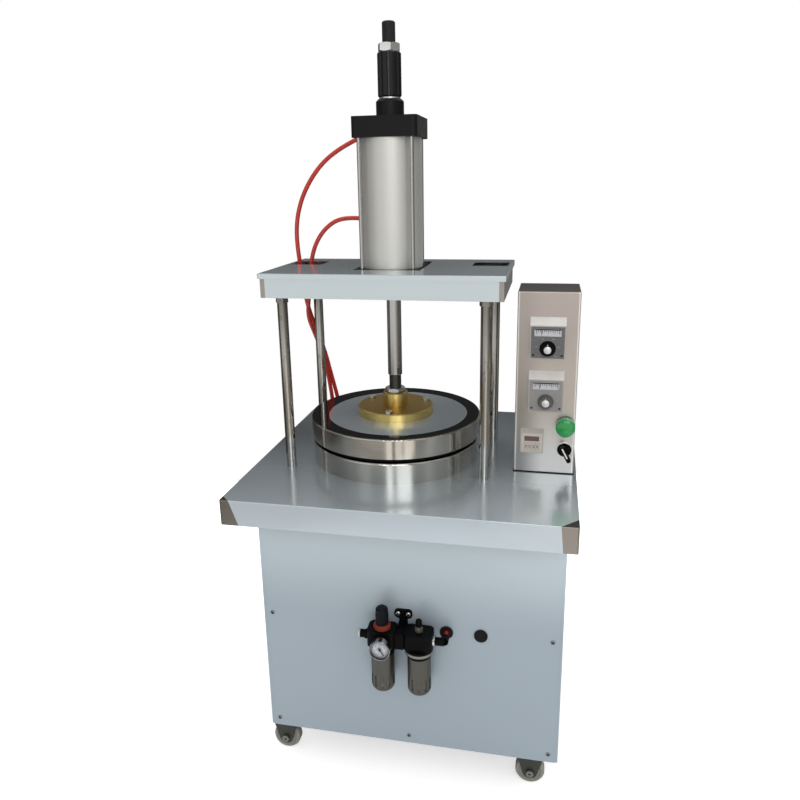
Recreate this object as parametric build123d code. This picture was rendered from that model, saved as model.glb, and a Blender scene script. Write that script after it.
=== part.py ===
from build123d import *
import math
import os

# Pneumatic dough press: a wheeled cabinet with a worktop, a round heated lower platen on it, and a heated
# upper platen pushed down by an air cylinder that stands on a four-column platform.
# Millimetres, X to the right, Y to the back, Z up from the floor, origin under the middle of the worktop.

# Clearances shared by all pieces
RUN_FIT = 0.05
SLIP = 0.3
BOLT_GAP = 0.4

# Worktop
TABLE_W = 705.0
TABLE_D = 655.0
TABLE_H = 675.0
TABLE_EDGE = 54.0
TABLE_SHEET = 2.0
TABLE_HEM = 14.0
TABLE_CORNER = 4.0
FOLD_R = 1.6
BASE_PLATE_MARGIN = 23.0
BASE_PLATE_T = 10.0

# Cabinet
LEFT_OVERHANG = 47.5
RIGHT_OVERHANG = 17.5
FRONT_OVERHANG = 72.0
REAR_OVERHANG = 40.0
PANEL_T = 1.5
PANEL_FLANGE = 22.0
EDGE_STRIP = 6.0
FLOOR_T = 3.0
SCREW_HEAD_R = 4.6
SCREW_HEAD_H = 2.6
SCREW_INSET = 14.0

# Casters
CASTER_H = 88.0
CASTER_INSET_X = 39.0
CASTER_INSET_Y = 40.0
CASTER_PLATE = 66.0
CASTER_PLATE_T = 3.0
CASTER_PLATE_CORNER = 8.0
CASTER_TRAIL = 18.0
WHEEL_R = 31.5
WHEEL_W = 24.0
WHEEL_RIM = 7.0
WHEEL_DISH = 3.0
WHEEL_HUB = 6.0
WHEEL_SLOPE = 2.0
WHEEL_SHOULDER = 1.0
WHEEL_CROWN_R = 2.5
WHEEL_CROWN_W = 5.0
AXLE_R = 5.0
AXLE_NUT_R = 7.5
AXLE_NUT_H = 4.0
KINGPIN_R = 6.0
RACE_R = 22.0
RACE_H = 4.0
FORK_HEAD_T = 4.0
FORK_T = 2.5
FORK_END_R = 16.0
FORK_TOP_W = 60.0

# Columns and platform
PRESS_X = -55.0
PRESS_Y = -10.0
COLUMN_D = 22.0
COLUMN_SPAN_X = 430.0
COLUMN_SPAN_Y = 238.0
COLUMN_LENGTH = 381.0
STUD_D = 16.0
STUD_NUT_AF = 24.0
STUD_NUT_H = 13.0
STUD_TIP = 4.0
STUD_CHAMFER = 1.0
PLATE_T = 10.0
COVER_MARGIN_X = 40.5
COVER_MARGIN_Y = 30.0
COVER_LIP = 11.0
COVER_STEP = 4.0
COVER_SHEET = 2.0
CUTOUT_W = 144.0
CUTOUT_FRONT = 72.0
CUTOUT_REAR = 108.0
HOSE_SLOT_X = (170.0, 248.0)
HOSE_SLOT_Y = (20.0, 101.0)
HOSE_SLOT_CORNER = 8.0

# Air cylinder
CAP_SIDE = 136.0
CAP_H = 41.0
CAP_CORNER = 9.0
BORE_R = 62.5
BARREL_R = 64.5
BARREL_L = 266.0
BARREL_GROOVE_W = 1.4
BARREL_GROOVE_DEPTH = 0.7
BARREL_GROOVE_DROP = 7.0
SPIGOT_H = 8.0
TIE_ROD_R = 4.2
TIE_ROD_OFFSET = 55.0
TIE_NUT_AF = 17.0
TIE_NUT_H = 9.0
SLEEVE_NUT_R = 8.0
SLEEVE_NUT_H = 14.0
SLEEVE_NUT_SINK = 0.6
SOCKET_AF = 8.0
BOSS_R = 29.0
BOSS_H = 36.0
BOSS_CHAMFER = 5.0
BUSH_R = 22.0
BUSH_COLLAR_R = 25.0
BUSH_NOSE = 4.0
PORT_R = 7.0
PORT_DEPTH = 12.0

# Ram, platens and brass flange
ROD_R = 16.0
THREAD_R = 13.5
ROD_FLAT_AF = 27.0
ROD_FLAT_H = 14.0
ROD_FLAT_RAISE = 5.0
ROD_FLAT_TURN = -28.0
ROD_NECK = 29.0
TAIL_TOP_ABOVE_BOSS = 147.0
TAIL_CHAMFER = 2.0
PISTON_T = 40.0
PISTON_REST_GAP = 8.0
LOWER_PLATEN_R = 190.0
UPPER_PLATEN_R = 192.5
PLATEN_WALL = 2.0
LOWER_PLATEN_H = 46.5
LOWER_LIP = 10.0
LOWER_RIM_R = 4.0
UPPER_PLATEN_H = 43.5
UPPER_RIM_R = 3.0
PRESS_GAP = 10.0
HEAT_PLATE_T = 22.0
HEAT_PAD_R = 22.0
HEAT_PAD_PITCH_R = 110.0
HEAT_BOSS_R = 88.0
FLANGE_R = 85.0
FLANGE_T = 18.0
HUB_R = 28.0
HUB_H = 31.0
FLANGE_CHAMFER = 2.0
FLANGE_BOLT_PITCH_R = 74.0
FLANGE_BOLT_R = 5.0
FLANGE_BOLT_AF = 15.0
FLANGE_BOLT_HEAD = 5.5
FLANGE_BOLT_GRIP = 30.0
FLANGE_BOLT_ANGLES = (30.0, 150.0, 270.0)
ROD_NUT_AF = 41.0
ROD_NUT_H = 9.0

# Stroke stop on the tail of the rod
STOP_WASHER_R = 22.0
STOP_WASHER_T = 3.0
STOP_SLEEVE_R = 24.5
STOP_SLEEVE_L = 87.0
STOP_CHAMFER = 3.0
STOP_FLUTES = 9
STOP_FLUTE_R = 9.0
STOP_FLUTE_DEPTH = 1.8
STOP_NUT_H = 16.0
STOP_NUT_TURN = -9.0

# Control box and its instruments
BOX_X = 282.5
BOX_W = 126.0
BOX_D = 122.0
BOX_H = 392.0
BOX_FRONT_Y = -81.0
BOX_WALL = 1.5
BOX_EDGE_R = 3.0
CONTROLLER_W = 72.0
CONTROLLER_FACE_H = 71.0
CONTROLLER_HOOD = 15.0
CONTROLLER_PROUD = 14.0
CONTROLLER_BODY = 64.0
CONTROLLER_DEPTH = 70.0
CONTROLLER_Z = (141.0, 254.0)
WINDOW_W = 55.0
WINDOW_H = 16.0
WINDOW_T = 2.0
WINDOW_DROP = 15.0
KNOB_RAISE = 23.0
KNOB_SKIRT_R = 16.5
KNOB_GRIP_R = 12.5
KNOB_SKIRT_T = 4.0
KNOB_TAPER = 1.0
KNOB_H = 14.0
KNOB_SHAFT_R = 3.0
KNOB_SHAFT_L = 9.0
TIMER_X = -26.0
TIMER_Z = 47.0
TIMER_W = 48.0
TIMER_FACE_H = 46.0
TIMER_HOOD = 7.0
TIMER_PROUD = 8.0
TIMER_BODY = 43.0
TIMER_DEPTH = 64.0
DISPLAY_W = 31.0
DISPLAY_H = 11.0
DISPLAY_DROP = 14.0
OPERATOR_X = 42.5
BUTTON_Z = 109.0
SELECTOR_Z = 56.0
COLLAR_R = 14.5
COLLAR_BORE_R = 9.0
COLLAR_H = 6.0
BUTTON_R = 20.0
BUTTON_HEAD_T = 13.0
BUTTON_SKIRT_L = 6.0
BUTTON_SKIRT_T = 3.0
BUTTON_EDGE_R = 5.0
BUTTON_DOME_R = 46.0
BUTTON_GAP = 1.0
BUTTON_TRAVEL = 5.0
BUTTON_STEM_L = 34.0
SELECTOR_R = 11.2
SELECTOR_DISC_T = 8.0
SELECTOR_STEM_L = 20.0
SELECTOR_GRIP_W = 9.0
SELECTOR_GRIP_H = 11.0
SELECTOR_GRIP_TAIL = 14.0
SELECTOR_GRIP_NOSE = 23.0
SELECTOR_ANGLE = -62.0

# Air preparation unit on the cabinet front
AIR_STANDOFF = 34.0
AIR_Z = 378.0
FILTER_X = -31.0
UNIT_PITCH = 77.0
UNIT_W = 59.0
UNIT_D = 43.0
UNIT_BOTTOM = 348.0
UNIT_TOP = 398.0
UNIT_CORNER = 11.0
UNIT_SEAT_R = 25.0
FILTER_NECK_R = 26.0
LUBRICATOR_NECK_R = 29.0
UNIT_NECK_H = 14.0
UNIT_PORT_SIDE = 24.0
BONNET_R = 10.0
BONNET_H = 24.0
REGULATOR_KNOB_R = 12.8
REGULATOR_KNOB_H = 46.0
REGULATOR_RING_R = 18.0
REGULATOR_RING_H = 9.0
REGULATOR_RING_BEVEL = 3.0
REGULATOR_CROWN_R = 5.0
BOWL_R = 22.8
BOWL_WALL = 2.5
BOWL_L = 92.0
BOWL_END_R = 12.0
GUARD_WALL = 1.4
GUARD_SLOTS = 11
GUARD_SLOT_W = 5.2
GUARD_SLOT_L = 27.0
GUARD_SLOT_RAISE = 14.0
GUARD_FLOOR_HOLE_R = 9.0
DRAIN_R = 5.0
DRAIN_L = 9.0
DOME_R = 8.5
DOME_H = 11.0
DOSER_KNOB_R = 6.2
DOSER_KNOB_H = 15.0
DOSER_KNOB_EDGE = 2.0
DOSER_STEM_R = 3.0
DOSER_STEM_SINK = 3.0
GAUGE_OFFSET = 3.5
GAUGE_R = 21.5
GAUGE_T = 18.0
GAUGE_RECESS = 5.0
GAUGE_RIM = 1.8
GAUGE_BACK_BEVEL = 3.0
GAUGE_EDGE = 1.0
GAUGE_STEM_R = 6.0
GAUGE_STEM_L = 5.0
GAUGE_Z = 372.0
NEEDLE_L = 15.0
NEEDLE_TAIL = 5.0
NEEDLE_W = 1.6
NEEDLE_T = 0.8
NEEDLE_PIN_R = 1.2
NEEDLE_PIN_L = 4.0
NEEDLE_BOSS_R = 2.2
NEEDLE_LIFT = 1.0
NEEDLE_ANGLE = -58.0
BRACKET_BAR_W = 38.0
BRACKET_BAR_H = 20.0
BRACKET_BAR_Z = 413.0
BRACKET_T = 4.0
BRACKET_SCREW_PITCH = 22.0
BRACKET_STEM_W = 18.0
BRACKET_ARM_H = 34.0
BRACKET_ARM_INSET = 4.0

# Hoses, fittings and grommets
HOSE_R = 5.0
FITTING_R = 8.5
FITTING_HEX_AF = 19.0
FITTING_STEM = 14.0
FITTING_LEG = 27.0
INLET_L = 19.0
OUTLET_COLLAR = 1.5
OUTLET_COLLAR_L = 4.0
INLET_BORE_R = 5.2
INLET_BORE_L = 15.0
OUTLET_X = 98.0
GROMMET_FLANGE_R = 14.0
GROMMET_FLANGE_T = 3.0
GROMMET_BODY_R = 11.0
GROMMET_BORE_R = 6.0
GROMMET_TAIL = 4.0
PLUG_X = 169.5
TABLE_GROMMET_X = -246.0
TABLE_GROMMET_Y = 166.0
TABLE_GROMMET_FLANGE_R = 27.0
TABLE_GROMMET_BODY_R = 22.0
TABLE_GROMMET_BORE_R = 19.0
VALVE_PORT_PITCH = 24.0
VALVE_PORT_Z = 618.0
VALVE_PORT_H = 18.0
VALVE_LEAD = 42.0
INLET_LEAD = 36.0
VALVE_STANDOFF = 10.0
VALVE_L = 92.0
VALVE_W = 30.0
VALVE_H = 34.0
VALVE_COIL_L = 36.0
VALVE_BRACKET_T = 2.0
VALVE_BRACKET_W = 46.0
VALVE_BRACKET_FOOT = 24.0

# Levels and places that follow from the sizes above
FRONT_Y = -TABLE_D / 2 + FRONT_OVERHANG
BACK_Y = TABLE_D / 2 - REAR_OVERHANG
CABINET_LEFT = -TABLE_W / 2 + LEFT_OVERHANG
CABINET_RIGHT = TABLE_W / 2 - RIGHT_OVERHANG
CABINET_TOP = TABLE_H - TABLE_SHEET
BASE_PLATE_W = COLUMN_SPAN_X + 2 * BASE_PLATE_MARGIN
BASE_PLATE_D = COLUMN_SPAN_Y + 2 * BASE_PLATE_MARGIN
BASE_PLATE_Z = CABINET_TOP - BASE_PLATE_T
PLATE_Z = TABLE_H + COLUMN_LENGTH
PLATE_TOP = PLATE_Z + PLATE_T
COVER_W = COLUMN_SPAN_X + 2 * COVER_MARGIN_X
COVER_D = COLUMN_SPAN_Y + 2 * COVER_MARGIN_Y
COVER_TOP = PLATE_TOP + CAP_H
BARREL_TOP = COVER_TOP + BARREL_L
CAP_TOP = BARREL_TOP + CAP_H
BOSS_TOP = CAP_TOP + BOSS_H
CAP_REAR_Y = PRESS_Y + CAP_SIDE / 2
LOWER_TOP = TABLE_H + LOWER_PLATEN_H
UPPER_Z = LOWER_TOP + PRESS_GAP
UPPER_TOP = UPPER_Z + UPPER_PLATEN_H
FLANGE_TOP = UPPER_TOP + FLANGE_T
HUB_TOP = FLANGE_TOP + HUB_H
ROD_NUT_TOP = HUB_TOP + ROD_NUT_H
PISTON_Z = COVER_TOP + SPIGOT_H + PISTON_REST_GAP
COLUMN_PLACES = {
    "front_left": (PRESS_X - COLUMN_SPAN_X / 2, PRESS_Y - COLUMN_SPAN_Y / 2),
    "front_right": (PRESS_X + COLUMN_SPAN_X / 2, PRESS_Y - COLUMN_SPAN_Y / 2),
    "rear_left": (PRESS_X - COLUMN_SPAN_X / 2, PRESS_Y + COLUMN_SPAN_Y / 2),
    "rear_right": (PRESS_X + COLUMN_SPAN_X / 2, PRESS_Y + COLUMN_SPAN_Y / 2),
}
TIE_ROD_PLACES = [
    (PRESS_X + sx * TIE_ROD_OFFSET, PRESS_Y + sy * TIE_ROD_OFFSET) for sx in (-1, 1) for sy in (-1, 1)
]
CASTER_PLACES = {
    "front_left": (CABINET_LEFT + CASTER_INSET_X, FRONT_Y + CASTER_INSET_Y),
    "front_right": (CABINET_RIGHT - CASTER_INSET_X, FRONT_Y + CASTER_INSET_Y),
    "rear_left": (CABINET_LEFT + CASTER_INSET_X, BACK_Y - CASTER_INSET_Y),
    "rear_right": (CABINET_RIGHT - CASTER_INSET_X, BACK_Y - CASTER_INSET_Y),
}
UNIT_Y = FRONT_Y - AIR_STANDOFF
UNIT_FRONT = UNIT_Y - UNIT_D / 2
LUBRICATOR_X = FILTER_X + UNIT_PITCH
GAUGE_X = FILTER_X + GAUGE_OFFSET
UPPER_PORT_Z = BARREL_TOP + CAP_H / 2
LOWER_PORT_Z = PLATE_TOP + CAP_H / 2
ELBOW_Y = CAP_REAR_Y + FITTING_STEM + FITTING_R
BUTTON_X = BOX_X + OPERATOR_X

# Hose routes, from fitting to fitting
UPPER_HOSE = [
    (PRESS_X - FITTING_LEG, ELBOW_Y, UPPER_PORT_Z),
    (PRESS_X - 2 * FITTING_LEG, ELBOW_Y, UPPER_PORT_Z),
    (-150.0, 79.5, 1380.0),
    (-194.0, 77.0, 1358.0),
    (-228.0, 75.0, 1334.0),
    (-255.0, 73.0, 1304.0),
    (-277.0, 71.0, 1269.0),
    (-292.0, 69.0, 1232.0),
    (-300.0, 67.0, 1193.0),
    (-300.5, 65.0, 1152.0),
    (-296.0, 64.0, 1107.0),
    (-294.0, 73.0, 1062.0),
    (-297.0, 96.0, 1018.0),
    (-297.0, 123.0, 974.0),
    (-287.0, 143.0, 926.0),
    (-273.0, 154.0, 870.0),
    (-262.0, 160.5, 812.0),
    (-250.5, 165.0, 756.0),
    (-239.5, 166.0, 703.0),
    (TABLE_GROMMET_X + VALVE_PORT_PITCH / 2, TABLE_GROMMET_Y, VALVE_PORT_Z + VALVE_LEAD),
    (TABLE_GROMMET_X + VALVE_PORT_PITCH / 2, TABLE_GROMMET_Y, VALVE_PORT_Z),
]
LOWER_HOSE = [
    (PRESS_X, ELBOW_Y, LOWER_PORT_Z + FITTING_LEG),
    (PRESS_X, ELBOW_Y, LOWER_PORT_Z + 2 * FITTING_LEG + 2 * HOSE_R),
    (-69.0, 82.0, 1178.0),
    (-93.5, 84.0, 1196.0),
    (-130.0, 85.0, 1203.0),
    (-168.0, 83.5, 1207.0),
    (-206.0, 80.0, 1203.0),
    (-236.0, 76.0, 1181.0),
    (-257.0, 72.0, 1150.0),
    (-269.0, 68.0, 1110.0),
    (-274.0, 70.0, 1062.0),
    (-285.0, 81.0, 1014.0),
    (-296.5, 104.0, 968.0),
    (-290.5, 130.5, 922.0),
    (-277.0, 143.0, 872.0),
    (-267.5, 149.0, 820.0),
    (-262.5, 157.0, 766.0),
    (-259.5, 163.5, 713.0),
    (TABLE_GROMMET_X - VALVE_PORT_PITCH / 2, TABLE_GROMMET_Y, VALVE_PORT_Z + VALVE_LEAD),
    (TABLE_GROMMET_X - VALVE_PORT_PITCH / 2, TABLE_GROMMET_Y, VALVE_PORT_Z),
]
VALVE_INLET_Y = TABLE_GROMMET_Y - VALVE_W / 2 - VALVE_PORT_H
VALVE_INLET_Z = VALVE_PORT_Z - VALVE_PORT_H - VALVE_H / 2
SUPPLY_HOSE = [
    (OUTLET_X, UNIT_Y + FITTING_R + FITTING_STEM / 2, AIR_Z),
    (OUTLET_X, FRONT_Y + 2 * HOSE_R, AIR_Z),
    (95.0, -200.0, 373.0),
    (78.0, -152.0, 364.0),
    (45.0, -112.0, 360.0),
    (0.0, -85.0, 366.0),
    (-50.0, -62.0, 386.0),
    (-100.0, -40.0, 416.0),
    (-147.0, -18.0, 452.0),
    (-188.0, 4.0, 492.0),
    (-218.0, 30.0, 530.0),
    (-238.0, 62.0, 563.0),
    (TABLE_GROMMET_X, VALVE_INLET_Y - INLET_LEAD, VALVE_INLET_Z),
    (TABLE_GROMMET_X, VALVE_INLET_Y, VALVE_INLET_Z),
]


def span(middle, size):
    """Limits of a size centred on a middle."""
    return (middle - size / 2, middle + size / 2)


def block(x, y, z):
    """Box between pairs of limits."""
    middle = [(low + high) / 2 for low, high in (x, y, z)]
    return Pos(*middle) * Box(x[1] - x[0], y[1] - y[0], z[1] - z[0])


def post(radius, z, x, y):
    """Upright cylinder between two levels."""
    return Pos(x, y, (z[0] + z[1]) / 2) * Cylinder(radius, z[1] - z[0])


def bar_x(radius, x, y, z):
    """Cylinder along X between two limits."""
    return Pos((x[0] + x[1]) / 2, y, z) * Rot(0, 90, 0) * Cylinder(radius, x[1] - x[0])


def bar_y(radius, x, y, z):
    """Cylinder along Y between two limits."""
    return Pos(x, (y[0] + y[1]) / 2, z) * Rot(90, 0, 0) * Cylinder(radius, y[1] - y[0])


def hexagon(across_flats, z, x, y):
    """Upright hexagonal prism between two levels."""
    outline = RegularPolygon(across_flats / 2, 6, major_radius=False)
    return Pos(x, y, z[0]) * extrude(outline, z[1] - z[0])


def hex_nut(across_flats, z, x, y, turn=0.0):
    """Upright hexagonal nut or bolt head whose corners are chamfered at both ends."""
    flat = across_flats / 2
    corner = across_flats / math.sqrt(3)
    drop = (corner - flat) * math.tan(math.radians(30))
    cone = [(0, z[0]), (flat, z[0]), (corner, z[0] + drop), (corner, z[1] - drop), (flat, z[1]), (0, z[1])]
    prism = Pos(x, y, 0) * Rot(0, 0, turn) * hexagon(across_flats, z, 0, 0)
    return prism & turned(cone, x, y)


def turned(outline, x, y):
    """Solid of revolution about an upright axis, from points of radius and height."""
    face = Face(Wire.make_polygon([(r, 0, z) for r, z in outline], close=True))
    return Pos(x, y, 0) * revolve(face, Axis.Z)


def turned_y(outline, x, z):
    """Solid of revolution about an axis along Y, from points of radius and depth."""
    face = Face(Wire.make_polygon([(r, y, 0) for r, y in outline], close=True))
    return Pos(x, 0, z) * revolve(face, Axis.Y)


def rounded_block(x, y, z, corner):
    """Box whose four upright edges are rounded."""
    solid = block(x, y, z)
    return fillet(solid.edges().filter_by(Axis.Z), corner)


def round_edges(solid, level, radius):
    """Round all edges that lie wholly at one level."""
    return fillet(solid.edges().filter_by_position(Axis.Z, level - 1e-3, level + 1e-3), radius)


def cut_all(solid, tools):
    """Cut every tool from a solid."""
    for tool in tools:
        solid = solid - tool
    return solid


def save(node, *shapes):
    """Write one node, as a single solid or as a group of separate solids."""
    solids = [solid for shape in shapes for solid in shape.solids()]
    body = solids[0] if len(solids) == 1 else Compound(solids)
    export_step(body, f"parts/{node}.step")


def corner_radii(points):
    """Largest arcs that the runs of a hose route leave room for."""
    radii = []
    for before, here, after in zip(points, points[1:], points[2:]):
        first = Vector(*here) - Vector(*before)
        second = Vector(*after) - Vector(*here)
        half_turn = math.radians(first.get_angle(second)) / 2
        radii.append(0.45 * min(first.length, second.length) / math.tan(half_turn))
    return radii


def hose(name, points):
    """Tube along straight runs joined by tangent arcs."""
    radii = corner_radii(points)
    path = FilletPolyline(*points, radius=radii)
    start = Plane(origin=path @ 0, z_dir=path % 0)
    tube = sweep(start * Circle(HOSE_R), path)
    share = tube.volume / (math.pi * HOSE_R**2 * path.length)
    facts = {"least radius": min(radii), "length": path.length, "volume by section and length": share}
    print(name, {fact: round(value, 3) for fact, value in facts.items()})
    return tube


def table():
    """Worktop pressed from one sheet, with hemmed edges and a welded plate under the columns."""
    z = (TABLE_H - TABLE_EDGE, TABLE_H)
    outer = rounded_block(span(0, TABLE_W), span(0, TABLE_D), z, TABLE_CORNER)
    outer = round_edges(outer, TABLE_H, FOLD_R)
    inner_w = TABLE_W - 2 * TABLE_SHEET
    inner_d = TABLE_D - 2 * TABLE_SHEET
    hollow = block(span(0, inner_w), span(0, inner_d), (z[0] + TABLE_SHEET, CABINET_TOP))
    hem_z = (z[0], z[0] + TABLE_SHEET)
    mouth = block(span(0, inner_w - 2 * TABLE_HEM), span(0, inner_d - 2 * TABLE_HEM), hem_z)
    base = block(span(PRESS_X, BASE_PLATE_W), span(PRESS_Y, BASE_PLATE_D), (BASE_PLATE_Z, CABINET_TOP))
    solid = outer - hollow - mouth + base
    drill = (BASE_PLATE_Z, TABLE_H)
    holes = [post(STUD_D / 2 + BOLT_GAP, drill, x, y) for x, y in COLUMN_PLACES.values()]
    holes.append(post(TABLE_GROMMET_BODY_R + SLIP, drill, TABLE_GROMMET_X, TABLE_GROMMET_Y))
    return cut_all(solid, holes)


def side_panel(wall, inward):
    """Side of the cabinet with a folded flange at its front and back."""
    z = (CASTER_H, CABINET_TOP)
    y = (FRONT_Y + PANEL_T, BACK_Y - PANEL_T)
    sheet = block(sorted((wall, wall + inward * PANEL_T)), y, z)
    for edge, into in ((y[0], 1), (y[1], -1)):
        flange_y = sorted((edge, edge + into * PANEL_T))
        sheet = sheet + block(sorted((wall, wall + inward * PANEL_FLANGE)), flange_y, z)
    return sheet


def cabinet():
    """Sides, front, back and floor of the cabinet, and the screws of its front and back."""
    save("cabinet_left_panel", side_panel(CABINET_LEFT, 1))
    save("cabinet_right_panel", side_panel(CABINET_RIGHT, -1))
    x = (CABINET_LEFT + EDGE_STRIP, CABINET_RIGHT - EDGE_STRIP)
    z = (CASTER_H, CABINET_TOP)
    wall_y = (FRONT_Y, FRONT_Y + PANEL_T)
    front = block(x, wall_y, z)
    holes = [bar_y(GROMMET_BODY_R + SLIP, place, wall_y, AIR_Z) for place in (OUTLET_X, PLUG_X)]
    save("front_panel", cut_all(front, holes))
    save("cabinet_back_panel", block(x, (BACK_Y - PANEL_T, BACK_Y), z))
    floor_x = (CABINET_LEFT + PANEL_T, CABINET_RIGHT - PANEL_T)
    floor_y = (FRONT_Y + 2 * PANEL_T, BACK_Y - 2 * PANEL_T)
    save("cabinet_floor", block(floor_x, floor_y, (CASTER_H, CASTER_H + FLOOR_T)))
    columns = (x[0] + SCREW_INSET, (x[0] + x[1]) / 2, x[1] - SCREW_INSET)
    rows = (z[0] + SCREW_INSET + EDGE_STRIP, (z[0] + z[1]) / 2, z[1] - SCREW_INSET - EDGE_STRIP)
    places = [(sx, sz) for sx in columns for sz in rows if (sx, sz) != (columns[1], rows[1])]
    heads = [screw_head(sx, sz, FRONT_Y, -1) for sx, sz in places]
    heads += [screw_head(sx, sz, BACK_Y, 1) for sx, sz in places]
    for side in (-1, 1):
        sx = FILTER_X + UNIT_PITCH / 2 + side * BRACKET_SCREW_PITCH / 2
        heads.append(screw_head(sx, BRACKET_BAR_Z, FRONT_Y - BRACKET_T, -1))
    save("panel_screws", *heads)


def screw_head(x, z, seat, out):
    """Domed screw head on an upright face."""
    dome = [
        (0, seat),
        (SCREW_HEAD_R, seat),
        (SCREW_HEAD_R, seat + out * SCREW_HEAD_H * 0.4),
        (SCREW_HEAD_R * 0.7, seat + out * SCREW_HEAD_H * 0.85),
        (0, seat + out * SCREW_HEAD_H),
    ]
    return turned_y(dome, x, z)


def caster_plate(x, y):
    """Top plate of a caster with the fixed half of its ball race."""
    z = (CASTER_H - CASTER_PLATE_T, CASTER_H)
    plate = rounded_block(span(x, CASTER_PLATE), span(y, CASTER_PLATE), z, CASTER_PLATE_CORNER)
    race = post(RACE_R, (z[0] - RACE_H, z[0]), x, y) - post(RACE_R / 2, (z[0] - RACE_H, z[0]), x, y)
    return plate + race - post(KINGPIN_R + RUN_FIT, z, x, y)


def caster_fork(x, y):
    """Swivelling fork with its kingpin and axle, trailing to the left."""
    head_top = CASTER_H - CASTER_PLATE_T - RACE_H - SLIP
    head_z = (head_top - FORK_HEAD_T, head_top)
    wheel_x = x - CASTER_TRAIL
    fork = post(RACE_R, head_z, x, y) + post(KINGPIN_R, (head_top, CASTER_H - SLIP), x, y)
    outline = Pos(wheel_x, head_z[0] + FORK_HEAD_T / 2) * Rectangle(FORK_TOP_W, FORK_HEAD_T)
    outline = outline + Pos(wheel_x, WHEEL_R) * Circle(FORK_END_R)
    leg_face = make_hull(outline.edges())
    gap = WHEEL_W / 2 + 2 * SLIP
    for side in (-1, 1):
        leg_y = y + side * gap if side < 0 else y + gap + FORK_T
        leg = Plane(origin=(0, leg_y, 0), x_dir=(1, 0, 0), z_dir=(0, -1, 0)) * leg_face
        fork = fork + extrude(leg, FORK_T)
        bridge_y = sorted((y, y + side * (gap + FORK_T)))
        fork = fork + block(span(wheel_x, FORK_TOP_W), bridge_y, head_z)
    axle_end = gap + FORK_T + AXLE_NUT_H
    fork = fork + bar_y(AXLE_R, wheel_x, (y - axle_end, y + axle_end), WHEEL_R)
    for side in (-1, 1):
        nut_y = sorted((y + side * (gap + FORK_T), y + side * axle_end))
        fork = fork + bar_y(AXLE_NUT_R, wheel_x, nut_y, WHEEL_R)
    return fork


def caster_wheel(x, y):
    """Wheel with a crowned tread, dished sides and a hub bore."""
    half = WHEEL_W / 2
    rim = WHEEL_R - WHEEL_RIM
    hub = AXLE_R + WHEEL_HUB
    side = [
        (AXLE_R + RUN_FIT, half),
        (hub, half),
        (hub + WHEEL_SLOPE, half - WHEEL_DISH),
        (rim - WHEEL_SLOPE, half - WHEEL_DISH),
        (rim, half - WHEEL_SHOULDER),
        (WHEEL_R - WHEEL_CROWN_R, half - WHEEL_SHOULDER),
        (WHEEL_R, half - WHEEL_CROWN_W),
    ]
    outline = [(r, y - out) for r, out in side] + [(r, y + out) for r, out in reversed(side)]
    return turned_y(outline, x - CASTER_TRAIL, WHEEL_R)


def casters():
    """Four swivel casters."""
    save("caster_plates", *[caster_plate(x, y) for x, y in CASTER_PLACES.values()])
    for corner, (x, y) in CASTER_PLACES.items():
        save(f"caster_fork_{corner}", caster_fork(x, y))
        save(f"caster_wheel_{corner}", caster_wheel(x, y))


def columns():
    """Polished columns, shouldered between the worktop and the platform plate."""
    stud = STUD_D / 2
    shaft = COLUMN_D / 2
    low = BASE_PLATE_Z - STUD_NUT_H - STUD_TIP
    high = PLATE_TOP + STUD_NUT_H + STUD_TIP
    outline = [
        (0, low),
        (stud - STUD_CHAMFER, low),
        (stud, low + STUD_CHAMFER),
        (stud, TABLE_H),
        (shaft, TABLE_H),
        (shaft, PLATE_Z - STUD_NUT_H),
        (stud, PLATE_Z - STUD_NUT_H),
        (stud, high - STUD_CHAMFER),
        (stud - STUD_CHAMFER, high),
        (0, high),
    ]
    for corner, (x, y) in COLUMN_PLACES.items():
        save(f"column_{corner}", turned(outline, x, y))


def frame_nuts():
    """Nuts of the columns and of the tie rods."""
    nuts = []
    nut_levels = (BASE_PLATE_Z - STUD_NUT_H, PLATE_Z - STUD_NUT_H, PLATE_TOP)
    for x, y in COLUMN_PLACES.values():
        for level in nut_levels:
            z = (level, level + STUD_NUT_H)
            nuts.append(hex_nut(STUD_NUT_AF, z, x, y) - post(STUD_D / 2 + SLIP, z, x, y))
    for x, y in TIE_ROD_PLACES:
        z = (PLATE_Z - TIE_NUT_H, PLATE_Z)
        nuts.append(hex_nut(TIE_NUT_AF, z, x, y) - post(TIE_ROD_R + SLIP, z, x, y))
        top = CAP_TOP - SLEEVE_NUT_SINK
        z = (top - SLEEVE_NUT_H, top)
        sleeve = post(SLEEVE_NUT_R, z, x, y) - hexagon(SOCKET_AF, (top - SLEEVE_NUT_H / 2, top), x, y)
        nuts.append(sleeve - post(TIE_ROD_R + SLIP, (z[0], top - SLEEVE_NUT_H / 2), x, y))
    save("frame_nuts", *nuts)


def platform_plate():
    """Steel plate that the cylinder stands on."""
    width = COVER_W - 2 * (COVER_STEP + COVER_SHEET + SLIP)
    depth = COVER_D - 2 * (COVER_STEP + COVER_SHEET + SLIP)
    z = (PLATE_Z, PLATE_TOP)
    plate = block(span(PRESS_X, width), span(PRESS_Y, depth), z)
    holes = [post(STUD_D / 2 + BOLT_GAP, z, x, y) for x, y in COLUMN_PLACES.values()]
    holes += [post(TIE_ROD_R + BOLT_GAP, z, x, y) for x, y in TIE_ROD_PLACES]
    holes.append(post(BUSH_COLLAR_R + BOLT_GAP, z, PRESS_X, PRESS_Y))
    notch_x = (PRESS_X - width / 2, PRESS_X - HOSE_SLOT_X[0])
    holes.append(block(notch_x, [PRESS_Y + y for y in HOSE_SLOT_Y], z))
    return cut_all(plate, holes)


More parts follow.
